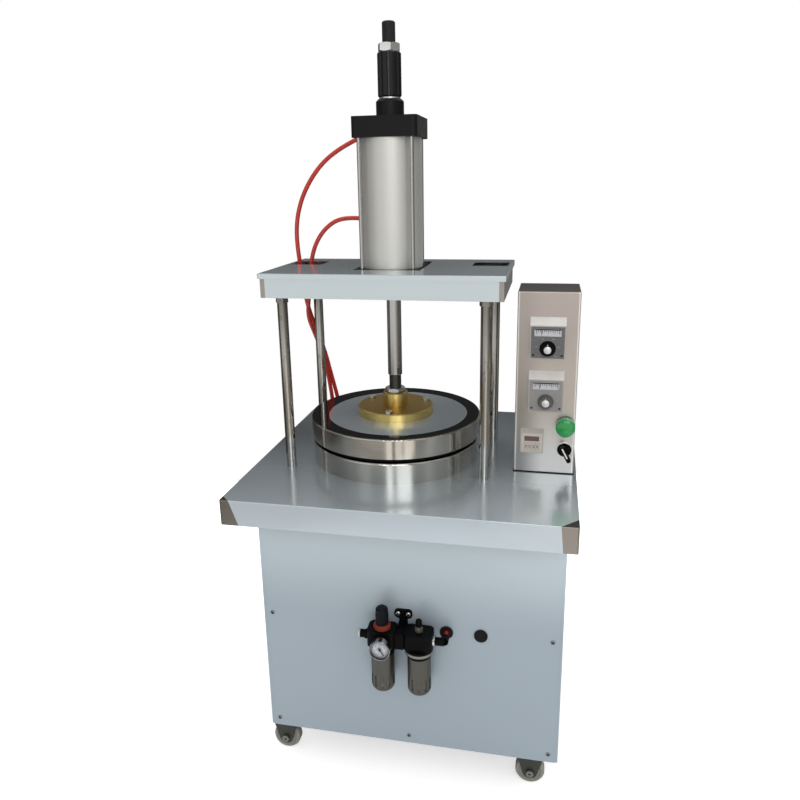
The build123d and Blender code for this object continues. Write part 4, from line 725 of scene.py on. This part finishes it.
def block(size, bevel):
    """Block about the origin with rounded edges."""
    work = bmesh.new()
    bmesh.ops.create_cube(work, size=1.0)
    work.transform(Matrix.Diagonal((*size, 1.0)))
    if bevel:
        width = min(bevel, 0.45 * min(size))
        bmesh.ops.bevel(work, geom=list(work.edges), offset=width, segments=2, affect="EDGES",
                        profile=0.6)
    return work


def slab(name, low, high, material, bevel=0.0, body="frame"):
    """Block between two corners."""
    work = block(Vector(high) - Vector(low), bevel)
    work.transform(Matrix.Translation((Vector(high) + Vector(low)) / 2))
    return from_bmesh(name, work, material, body)


def tile(name, spot, half, depth, material, bevel=0.0, body="frame"):
    """Block round a spot of a front, from half its width and height and its two depths."""
    x, y, z = spot
    return slab(name, (x - half[0], y + depth[0], z - half[1]),
                (x + half[0], y + depth[1], z + half[1]), material, bevel, body)


def bar(name, size, degrees, centre, material, body="frame", shift=(0, 0, 0), bevel=0.0):
    """Thin block on a front, shifted and then turned about the front's own axis."""
    work = block(size, bevel)
    work.transform(Matrix.Translation(shift))
    work.transform(Matrix.Rotation(math.radians(degrees), 4, "Z"))
    work.transform(Matrix.Translation(Vector(centre)) @ FRONT_TURN)
    return from_bmesh(name, work, material, body)


def window_frame(name, spot, half, window_z, window_half, thick, material):
    """Plate on a front, round a spot, with a rectangular window in it."""
    x, y, z = spot
    outer, inner = (z, half), (window_z, window_half)
    work = bmesh.new()
    loops = [
        [work.verts.new((x + across * wide, depth, mid_z + up * tall))
         for across, up in ((-1, -1), (1, -1), (1, 1), (-1, 1))]
        for depth, (mid_z, (wide, tall)) in (
            (y - thick, outer), (y - thick, inner), (y, inner), (y, outer))
    ]
    bridge(work, loops + loops[:1])
    from_bmesh(name, work, material)


def shrunk(half, gap):
    """Half sizes less a gap all round."""
    return half[0] - gap, half[1] - gap


def numeral(name, text, size, centre, material):
    """Raised figure on a front."""
    curve = bpy.data.curves.new(name, "FONT")
    curve.body = text
    curve.size = size
    curve.align_x = curve.align_y = "CENTER"
    curve.extrude = PRINT_H
    shown = placed(name, curve)
    bpy.context.view_layer.update()
    final = shown.evaluated_get(bpy.context.evaluated_depsgraph_get())
    mesh = bpy.data.meshes.new_from_object(final)
    bpy.data.objects.remove(shown)
    mesh.transform(Matrix.Translation(Vector(centre)) @ FRONT_TURN)
    mesh.materials.clear()
    piece(name, mesh, material, "frame")


def dial_figures(name, texts, size, centre, reach, start, step, material):
    """Figures round a dial on a front, clockwise from a start angle in degrees."""
    x, y, z = centre
    for count, text in enumerate(texts):
        angle = math.radians(start - step * count)
        spot = (x + reach[0] * math.cos(angle), y, z + reach[1] * math.sin(angle))
        numeral(f"{name}_{text}", text, size, spot, material)


def dial_ticks(name, count, width, centre, radii, start, step, material):
    """Thin marks round a dial on a front, clockwise from a start angle in degrees."""
    inner, outer = radii
    size = (outer - inner, width, 2 * PRINT_H)
    shift = (inner + (outer - inner) / 2, 0.0, 0.0)
    merged(name, [bar(f"{name}_{mark}", size, start - step * mark, centre, material, shift=shift)
                  for mark in range(count)])


def hoses():
    """Red air hoses as smooth curves along their routes."""
    for name, route in HOSE_ROUTES.items():
        curve = bpy.data.curves.new(f"{name}_tube", "CURVE")
        curve.dimensions = "3D"
        curve.bevel_depth = HOSE_DIAMETER / 2
        curve.bevel_resolution = 6
        curve.resolution_u = 10
        curve.use_fill_caps = True
        line = curve.splines.new("NURBS")
        line.points.add(len(route) - 1)
        for point, place in zip(line.points, route):
            point.co = (*[MM * value for value in place], 1.0)
        line.order_u = 3
        line.use_endpoint_u = True
        curve.materials.append(MATERIALS["hose"])
        tube = placed(f"{name}_tube", curve)
        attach(tube, "frame")
        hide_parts(name)


def hose_collars():
    """Release collars of the push-in fittings, at both ends of each hose."""
    for name, route in HOSE_ROUTES.items():
        for end, (place, inward) in enumerate(((route[0], route[1]), (route[-1], route[-2]))):
            direction = (Vector(inward) - Vector(place)).normalized()
            ring(f"{name}_collar_{end}", (0.0072, 0.0053), 0.0025, MM * Vector(place), direction,
                 "black")


def platen_film():
    """Disc of protective film left on the upper platen round the brass flange."""
    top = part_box("upper_platen_shell")[1].z
    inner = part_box("platen_flange")[1].x - PRESS.x + 0.0006
    outer, drift = 0.1575, Vector((0.0065, -0.0065))
    lift, ruffle = 0.0004, 0.00012
    long_wave, short_wave = 0.0018, 0.0012
    steps, rows = 120, 6
    work = bmesh.new()
    loops = []
    for row in range(rows + 1):
        share = row / rows
        radius = inner + (outer - inner) * share
        loop = []
        for angle in circle(steps):
            torn = long_wave * math.sin(9 * angle) + short_wave * math.sin(23 * angle)
            r = radius * (1.0 + torn * (row == rows))
            loop.append(work.verts.new((
                PRESS.x + drift.x * share + r * math.cos(angle),
                PRESS.y + drift.y * share + r * math.sin(angle),
                top + lift + ruffle * math.sin(5 * angle + row) * share,
            )))
        loops.append(loop)
    bridge(work, loops)
    made = from_bmesh("platen_film", work, "disc_film", "ram", smooth=True)
    thick = made.modifiers.new("thickness", "SOLIDIFY")
    thick.thickness = 0.00025
    thick.offset = -1.0
    made.modifiers.new("sharp_rim", "EDGE_SPLIT")


# Fronts of the temperature controllers, in metres and degrees
FACE_HALF = (0.0335, CONTROLLER_FACE_H / 2 - 0.003)
FACE_THICK = 0.0008
WINDOW_HALF = (0.0275, 0.008)
WINDOW_DROP = 0.015
SCALE_MARKS = 13
SCALE_STEP = 0.0038
KNOB_RAISE = 0.023
DIAL_START = 225
DIAL_FIGURES = "0 60 120 180 240 300".split()


def scale_marks(name, x, y, z):
    """Black scale in a controller's window: long and short marks under a dark strip at the window's
    top, which is the scale's line and painted shadow of the hood.
    """
    depth = (0.0012, 0.0014)
    marks = []
    for count in range(SCALE_MARKS):
        length = 0.0077 if count % 3 == 0 else 0.0047
        spot = (x + (count - SCALE_MARKS // 2) * SCALE_STEP, y, z + 0.0055 - length / 2)
        half = (0.0005, length / 2)
        marks.append(tile(f"{name}_scale_mark_{count}", spot, half, depth, "needle"))
    # The dark strip is the scale's line and painted shadow of the hood above the window.
    half = (WINDOW_HALF[0] - 0.001, 0.001)
    marks.append(tile(f"{name}_scale_line_and_hood_shadow", (x, y, z + 0.006), half, depth, "needle"))
    merged(f"{name}_scale_marks", marks)


def knob(name, x, z):
    """Fluted grip, bright cap and pointer line of a temperature knob."""
    body = f"{name}_temperature_knob"
    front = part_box(body)[0].y
    grip = [(0.0119, 0), (0.0136, 0), (0.0134, 0.0085), (0.0128, 0.0094), (0.0119, 0.0094)]
    cap = [(PINHOLE, 0), (0.0076, 0), (0.0076, 0.0008), (0.0069, 0.0013), (PINHOLE, 0.0015)]
    # The lower knob is grey as painted glare.
    lathe(f"{name}_knob_grip", grip, (x, front + 0.0095, z), FRONT,
          "black" if name == "upper" else "glare_knob", body, steps=192, ripple=(24, 0.0007, 0.0125))
    lathe(f"{name}_knob_cap", cap, (x, front, z), FRONT, "satin", body, steps=48)
    tile(f"{name}_knob_line", (x, front, z + 0.0102), (0.0005, 0.0014), (-0.0003, 0.0002), "white",
         bevel=0.0001, body=body)


def controllers():
    """Faces, windows, dials and knobs of the two temperature controllers."""
    x, y = middle("temperature_controllers").x, CONTROLLER_LOW.y
    for name, bottom in CONTROLLER_BOTTOMS.items():
        window_z = bottom + CONTROLLER_FACE_H - WINDOW_DROP
        knob_z = bottom + KNOB_RAISE
        window = (x, y, window_z)
        # The lower face is paler as painted glare.
        window_frame(f"{name}_controller_face", (x, y, bottom + CONTROLLER_FACE_H / 2), FACE_HALF,
                     window_z, WINDOW_HALF, FACE_THICK, "face" if name == "upper" else "glare_face")
        tile(f"{name}_scale_plate", window, shrunk(WINDOW_HALF, 0.0003), (0.0014, 0.0019), "dial",
             bevel=0.0002)
        scale_marks(name, *window)
        tile(f"{name}_scale_pointer", (x - 0.0131, y, window_z), (0.0004, 0.0062),
             (0.0008, 0.0010), "red_window", bevel=0.00008)
        tile(f"{name}_window_pane", window, shrunk(WINDOW_HALF, 0.0002), (-0.0003, 0.0001), "glass",
             bevel=0.0001)
        centre = (x, y - 0.0009, knob_z)
        dial_ticks(f"{name}_dial_marks", 31, 0.0004, centre, (0.0178, 0.0195), DIAL_START, 9,
                   "faint")
        dial_figures(f"{name}_dial", DIAL_FIGURES, 0.0042, centre, (0.0228, 0.0222), DIAL_START, 54,
                     "faint")
        for side, screw_x in (("left", x - 0.0285), ("right", x + 0.0285)):
            ring(f"{name}_face_screw_{side}", (0.0021, 0.0006), 0.0007,
                 (screw_x, y - FACE_THICK, bottom + 0.009), FRONT, "black", edge=0.0003, steps=24)
        knob(name, x, knob_z)


def box_foot_shadow():
    """Strip of black rubber round the foot of the control box, as a painted contact shadow where the
    box meets the worktop.
    """
    wide, tall = 0.0012, 0.0022
    left, front, foot = BOX_LOW
    right, back, _ = BOX_HIGH
    runs = [
        ((left - wide, front - wide), (right + wide, front)),
        ((left - wide, back), (right + wide, back + wide)),
        ((left - wide, front), (left, back)),
        ((right, front), (right + wide, back)),
    ]
    # A dark strip put where there is only contact shadow.
    merged("box_foot_shadow_strip", [
        slab(f"shadow_strip_run_{count}", (*low, foot), (*high, foot + tall), "rubber", bevel=0.0004)
        for count, (low, high) in enumerate(runs)])


def timer():
    """Front of the timer: face, dark red display and four figure wheels with their tabs."""
    x = middle("press_timer").x
    _, y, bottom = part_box("press_timer")[0]
    window_z, window_half = bottom + TIMER_FACE_H - 0.014, (0.0155, 0.0055)
    wheel_z, wheel_step, tab_raise = bottom + 0.0145, 0.0078, 0.0066
    window_frame("timer_face", (x, y, bottom + TIMER_FACE_H / 2),
                 (0.0215, TIMER_FACE_H / 2 - 0.0025), window_z, window_half, 0.0006, "cream")
    tile("timer_display", (x, y, window_z), shrunk(window_half, 0.0002), (0.0002, 0.0018),
         "red_window", bevel=0.0003)
    tile("timer_wheel_well", (x, y, wheel_z), (0.0165, 0.0095), (-0.0009, -0.0005), "beige",
         bevel=0.0003)
    for count, text in enumerate("0025"):
        wheel_x = x + (count - 1.5) * wheel_step
        tile(f"timer_wheel_{count}", (wheel_x, y, wheel_z), (0.0024, 0.0032), (-0.0013, -0.0008),
             "beige", bevel=0.0003)
        numeral(f"timer_figure_{count}", text, 0.0066, (wheel_x, y - 0.00138, wheel_z), "needle")
        for side, tab_z in (("low", wheel_z - tab_raise), ("high", wheel_z + tab_raise)):
            tile(f"timer_tab_{count}_{side}", (wheel_x, y, tab_z), (0.0022, 0.0016),
                 (-0.0019, -0.0008), "cream", bevel=0.0004)


def operators():
    """Bright ring of the selector and the white stripe on its grip."""
    low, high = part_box("operator_collars")
    x, z = (low.x + high.x) / 2, low.z + (high.x - low.x) / 2
    grip_y, rest_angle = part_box("selector_switch")[0].y, -62
    ring("selector_bright_ring", (0.0152, 0.0146), 0.0045, (x, high.y, z), FRONT, "chrome")
    bar("selector_stripe", (0.024, 0.0030, 0.0005), rest_angle, (x, grip_y, z), "white",
        "selector_switch", shift=(0.001, 0.0, 0.0002), bevel=0.0002)


def gauge():
    """Dial, figures, lens and bright bezel of the pressure gauge, and its needle's hub."""
    x, _, z = middle("gauge_case")
    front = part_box("gauge_case")[0].y
    dial_y = front + 0.005
    zero, step = -58.0, 27
    disc = [(0.0016, 0), (0.0196, 0), (0.0196, 0.0004), (0.0016, 0.0004)]
    lens = [(PINHOLE, 0), (0.0187, 0), (0.0187, 0.0006), (0.012, 0.0011), (PINHOLE, 0.0013)]
    hub = [(PINHOLE, 0), (0.0024, 0), (0.0022, 0.0006), (PINHOLE, 0.0008)]
    lathe("gauge_dial", disc, (x, dial_y, z), FRONT, "dial", sharp=False)
    centre = (x, dial_y - 0.0005, z)
    dial_ticks("gauge_long_marks", 11, 0.0004, centre, (0.0142, 0.0172), zero, step, "needle")
    dial_ticks("gauge_short_marks", 21, 0.00022, centre, (0.0152, 0.0172), zero, step / 2, "needle")
    dial_figures("gauge_figure", "0 2 4 6 8 10".split(), 0.0036, centre, (0.0105, 0.0105), zero,
                 2 * step, "needle")
    ring("gauge_bezel", (0.0216, 0.0197), 0.0010, (x, front, z), FRONT, "gauge", edge=0.0005)
    ring("gauge_gasket", (0.0197, 0.0188), 0.0008, (x, front + 0.0008, z), FRONT, "black",
         edge=0.0002)
    lathe("gauge_lens", lens, (x, front + 0.0007, z), FRONT, "glass", sharp=False)
    lathe("gauge_needle_hub", hub, (x, dial_y - 0.0018, z), FRONT, "needle", "gauge_needle",
          steps=32, sharp=False)


def air_unit():
    """Grip ribs, bands, port rings and the oil of the filter regulator and the lubricator."""
    ribs = [(0.0120, 0), (0.01345, 0), (0.01345, 0.022), (0.0129, 0.0235), (0.0120, 0.0235)]
    ribs_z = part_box("regulator_knob")[0].z + 0.0125
    lathe("regulator_ribs", ribs, (*middle("regulator_knob").xy, ribs_z), UP, "regulator",
          "regulator_knob", steps=180, ripple=(30, 0.0006, 0.0125))
    guard_low, guard_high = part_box("bowl_guards")
    radius = (guard_high.y - guard_low.y) / 2
    bowl_top = guard_high.z
    y = middle("bowl_guards").y
    filter_x, lubricator_x = guard_low.x + radius, guard_high.x - radius
    ring("lubricator_band", (LUBRICATOR_NECK_R + 0.0005, LUBRICATOR_NECK_R - 0.0004), 0.0055,
         (lubricator_x, y, bowl_top + 0.0042), UP, "dull", edge=0.0003, steps=96)
    for name, x in (("filter", filter_x), ("lubricator", lubricator_x)):
        ring(f"{name}_bowl_ring", (radius + 0.0007, radius - 0.0004), 0.0045,
             (x, y, bowl_top - 0.0048), UP, "black", edge=0.0006)
    oil_r, oil_h = radius - 0.0050, 0.040
    oil = [(PINHOLE, 0), (oil_r * 0.6, 0), (oil_r, 0.010), (oil_r, oil_h), (PINHOLE, oil_h)]
    lathe("bowl_oil", oil, (lubricator_x, y, guard_low.z + 0.0075), UP, "oil", sharp=False)
    port_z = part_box("grommets")[0].z + GROMMET_R
    ring("outlet_ring", (0.0107, 0.0101), 0.0039, (lubricator_x + UNIT_HALF_W, y, port_z),
         (1, 0, 0), "chrome")
    ring("inlet_ring", (0.0091, 0.0086), 0.0035, (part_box("air_fittings")[0].x + 0.0045, y, port_z),
         (-1, 0, 0), "zinc")
    grip = [(0.0056, 0), (0.0066, 0), (0.0066, 0.009), (0.0061, 0.0095), (0.0056, 0.0095)]
    grip_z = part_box("lubricator_knob")[1].z - 0.0125
    lathe("lubricator_grip", grip, (lubricator_x, y, grip_z), UP, "black", "lubricator_knob",
          steps=96, ripple=(16, 0.0004, 0.0060))


def islands(node):
    """Boxes of the separate solids of a node, as pairs of corners, in the mesh's own order."""
    work = bmesh.new()
    work.from_mesh(NODES[node].data)
    unseen = set(work.verts)
    boxes = []
    for start in work.verts:
        if start not in unseen:
            continue
        unseen.remove(start)
        reached = [start]
        for vertex in reached:
            for edge in vertex.link_edges:
                other = edge.other_vert(vertex)
                if other in unseen:
                    unseen.remove(other)
                    reached.append(other)
        corners = list(zip(*(vertex.co for vertex in reached)))
        boxes.append((Vector(map(min, corners)), Vector(map(max, corners))))
    work.free()
    return boxes


def screw_recess_shades():
    """Cross recesses of the panel screws, each turned as it was driven, as black bars: painted shade
    in the recesses.
    """
    arm, sunk, turn = (0.0056, 0.0011, 0.0008), 0.0002, 37
    arms = []
    for count, (low, high) in enumerate(islands("panel_screws")):
        x, y, z = (low + high) / 2
        y = low.y + sunk if y < 0 else high.y - sunk
        for quarter in (0, 90):
            arms.append(bar(f"screw_recess_{count}_{quarter}", arm, turn * count + quarter,
                            (x, y, z), "needle"))
    merged("screw_recess_shades", arms)


def casters():
    """Axle nuts of the casters."""
    for corner in CORNERS:
        body = f"caster_fork_{corner}"
        x, _, z = middle(f"caster_wheel_{corner}")
        fork_low, fork_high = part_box(body)
        for name, side, y in (("front", -1, fork_low.y), ("back", 1, fork_high.y)):
            nut = ring(f"caster_nut_{corner}_{name}", (0.0088, 0.0028), AXLE_NUT_H + 0.0004,
                       (x, y - side * AXLE_NUT_H, z), (0, side, 0), "dull", body, steps=6)
            nut.data.shade_flat()


# Soft boxes: name, place, width and height, power, and whether they show in reflections
LAMPS = (
    ("key_right", (1.32, -3.45, 2.7), (1.3, 2.0), 19.0, True),
    ("key_left", (0.13, -3.70, 2.7), (0.5, 2.0), 8.0, True),
    ("fill_left", (-2.8, -1.6, 2.2), (1.8, 1.8), 7.0, False),
    ("fill_right", (2.9, -1.4, 1.9), (1.8, 1.8), 12.5, False),
    ("top", (0.0, 0.4, 3.4), (2.4, 2.4), 24.0, False),
)
LAMP_AIM = Vector((0.0, 0.0, 0.8))
FLOOR_RADIUS = 1.6


def stage_and_light():
    """Round white floor that fades into the background, and soft boxes."""
    work = bmesh.new()
    bmesh.ops.create_circle(work, cap_ends=True, radius=FLOOR_RADIUS, segments=128)
    mesh = bpy.data.meshes.new("studio_floor")
    work.to_mesh(mesh)
    work.free()
    floor = placed("studio_floor", mesh)
    look = Look("studio_floor", scaled(WHITE, 0.93), 0.0, 0.9, Specular_IOR_Level=0.0,
                Emission_Color=(*WHITE, 1.0))
    look.color(look.mix(look.noise(2), scaled(WHITE, 0.92), scaled(WHITE, 0.94)))
    axes = look.axes()
    seen = look.node("ShaderNodeLightPath").outputs["Is Camera Ray"]
    fading = look.span(look.radius(axes[0], axes[1]), 0.40, 1.25, 0.58, 1.0)
    look.drive("Emission Strength", look.times(seen, fading))
    mesh.materials.append(look.material)
    for name, place, size, power, mirrored in LAMPS:
        lamp = bpy.data.lights.new(name, "AREA")
        lamp.energy = power
        lamp.shape = "RECTANGLE"
        lamp.size, lamp.size_y = size
        made = placed(name, lamp)
        made.visible_glossy = mirrored
        made.location = place
        made.rotation_euler = (LAMP_AIM - Vector(place)).to_track_quat("-Z", "Y").to_euler()


# Brightness of the room by azimuth in degrees from +Y towards +X: near eye level, lower down and
# above the camera
EYE_BANDS = {
    -180: 0.95, -128: 0.88, -116: 0.22, -96: 0.10, -82: 0.26, -70: 0.26, -58: 0.08, -30: 0.06,
    0: 0.10, 14: 0.28, 24: 0.30, 34: 0.08, 60: 0.08, 74: 0.26, 86: 0.30, 96: 0.22, 118: 0.38,
    136: 0.54, 150: 0.80, 165: 0.95, 180: 0.95,
}
LOW_BANDS = {
    -180: 0.95, -178: 0.42, -174: 0.28, -150: 0.25, -138: 0.20, -126: 0.09, -112: 0.07,
    -100: 0.04, -86: 0.08, -66: 0.04, 0: 0.06, 40: 0.10, 66: 0.05, 78: 0.10, 84: 0.42, 92: 0.36,
    100: 0.12, 112: 0.14, 116: 0.40, 124: 0.40, 128: 0.22, 142: 0.22, 146: 1.0, 156: 1.0,
    158: 0.50, 160: 0.50, 162: 0.86, 169: 0.86, 170: 0.10, 173: 0.10, 174: 1.0, 180: 0.95,
}
HIGH_BANDS = {
    -180: 0.50, -174: 0.16, -160: 0.14, -152: 0.46, -143: 0.36, -135: 0.10, -112: 0.04, -70: 0.04,
    70: 0.08, 80: 0.20, 88: 0.46, 98: 0.20, 112: 0.24, 124: 0.50, 134: 0.20, 144: 0.10, 150: 0.60,
    180: 0.50,
}
LOW_TONE = (1.0, 0.92, 0.82)
EYE_TONE = (1.0, 0.985, 0.96)
CEILING = scaled(WHITE, 0.74)


def studio_world():
    """Room with light and dark walls, so that polished steel has something to reflect.
    The camera itself sees plain white behind the press."""
    world = bpy.data.worlds.new("studio")
    bpy.context.scene.world = world
    world.use_nodes = True
    sky = Nodes(world.node_tree)
    sky.tree.nodes.clear()
    x, y, z = sky.split(sky.node("ShaderNodeTexCoord").outputs["Generated"])
    turn = sky.plus(sky.over(sky.math("ARCTAN2", x, y), 2 * math.pi), 0.5)
    elevation = sky.times(sky.math("ARCSINE", z), 180 / math.pi)

    def banded(levels, tone):
        """Ramp of grey levels round the horizon, tinted."""
        ramp = sky.node("ShaderNodeValToRGB")
        stops = ramp.color_ramp.elements
        stops.remove(stops[1])
        for count, (azimuth, level) in enumerate(levels.items()):
            place = azimuth / 360 + 0.5
            stop = stops.new(place) if count else stops[0]
            stop.position = place
            stop.color = (*scaled(tone, level), 1.0)
        sky.link(turn, ramp.inputs[0])
        return ramp.outputs[0]

    wall = sky.mix(sky.span(elevation, -17, -11), banded(LOW_BANDS, LOW_TONE),
                   banded(EYE_BANDS, EYE_TONE))
    front = sky.mix(sky.span(elevation, 27, 50), banded(HIGH_BANDS, EYE_TONE), CEILING)
    back = sky.plus(sky.span(elevation, 21, 34, 0.045, 0.66),
                    sky.span(elevation, 36, 62, 0.0, 0.30))
    above = sky.mix(sky.span(y, -0.25, 0.3), front, back)
    room = sky.node("ShaderNodeBackground")
    sky.link(sky.mix(sky.span(elevation, 8, 18), wall, above), room.inputs["Color"])
    white = sky.node("ShaderNodeBackground")
    sky.feed(white.inputs["Color"], WHITE)
    choose = sky.node("ShaderNodeMixShader")
    sky.link(sky.node("ShaderNodeLightPath").outputs["Is Camera Ray"], choose.inputs[0])
    sky.link(room.outputs[0], choose.inputs[1])
    sky.link(white.outputs[0], choose.inputs[2])
    sky.link(choose.outputs[0], sky.node("ShaderNodeOutputWorld").inputs[0])


def camera():
    """Camera at the photograph's place and angle."""
    yaw = Matrix.Rotation(CAMERA_YAW, 4, "Z")
    pitch = Matrix.Rotation(math.pi / 2 - CAMERA_PITCH, 4, "X")
    roll = Matrix.Rotation(CAMERA_ROLL, 4, "Z")
    lens = bpy.data.cameras.new("camera")
    lens.sensor_width = SENSOR_MM
    lens.lens = FOCAL_PIXELS / FRAME_PIXELS * SENSOR_MM
    lens.shift_x = 0.5 - CENTRE_PIXEL[0] / FRAME_PIXELS
    lens.shift_y = CENTRE_PIXEL[1] / FRAME_PIXELS - 0.5
    lens.clip_start = 0.05
    made = placed("camera", lens)
    made.matrix_world = Matrix.Translation(CAMERA_PLACE) @ yaw @ pitch @ roll
    bpy.context.scene.camera = made


camera()
hoses()
dress_nodes()
hose_collars()
platen_film()
controllers()
box_foot_shadow()
timer()
operators()
gauge()
air_unit()
screw_recess_shades()
casters()
stage_and_light()
studio_world()
bpy.context.scene.view_settings.view_transform = "Standard"
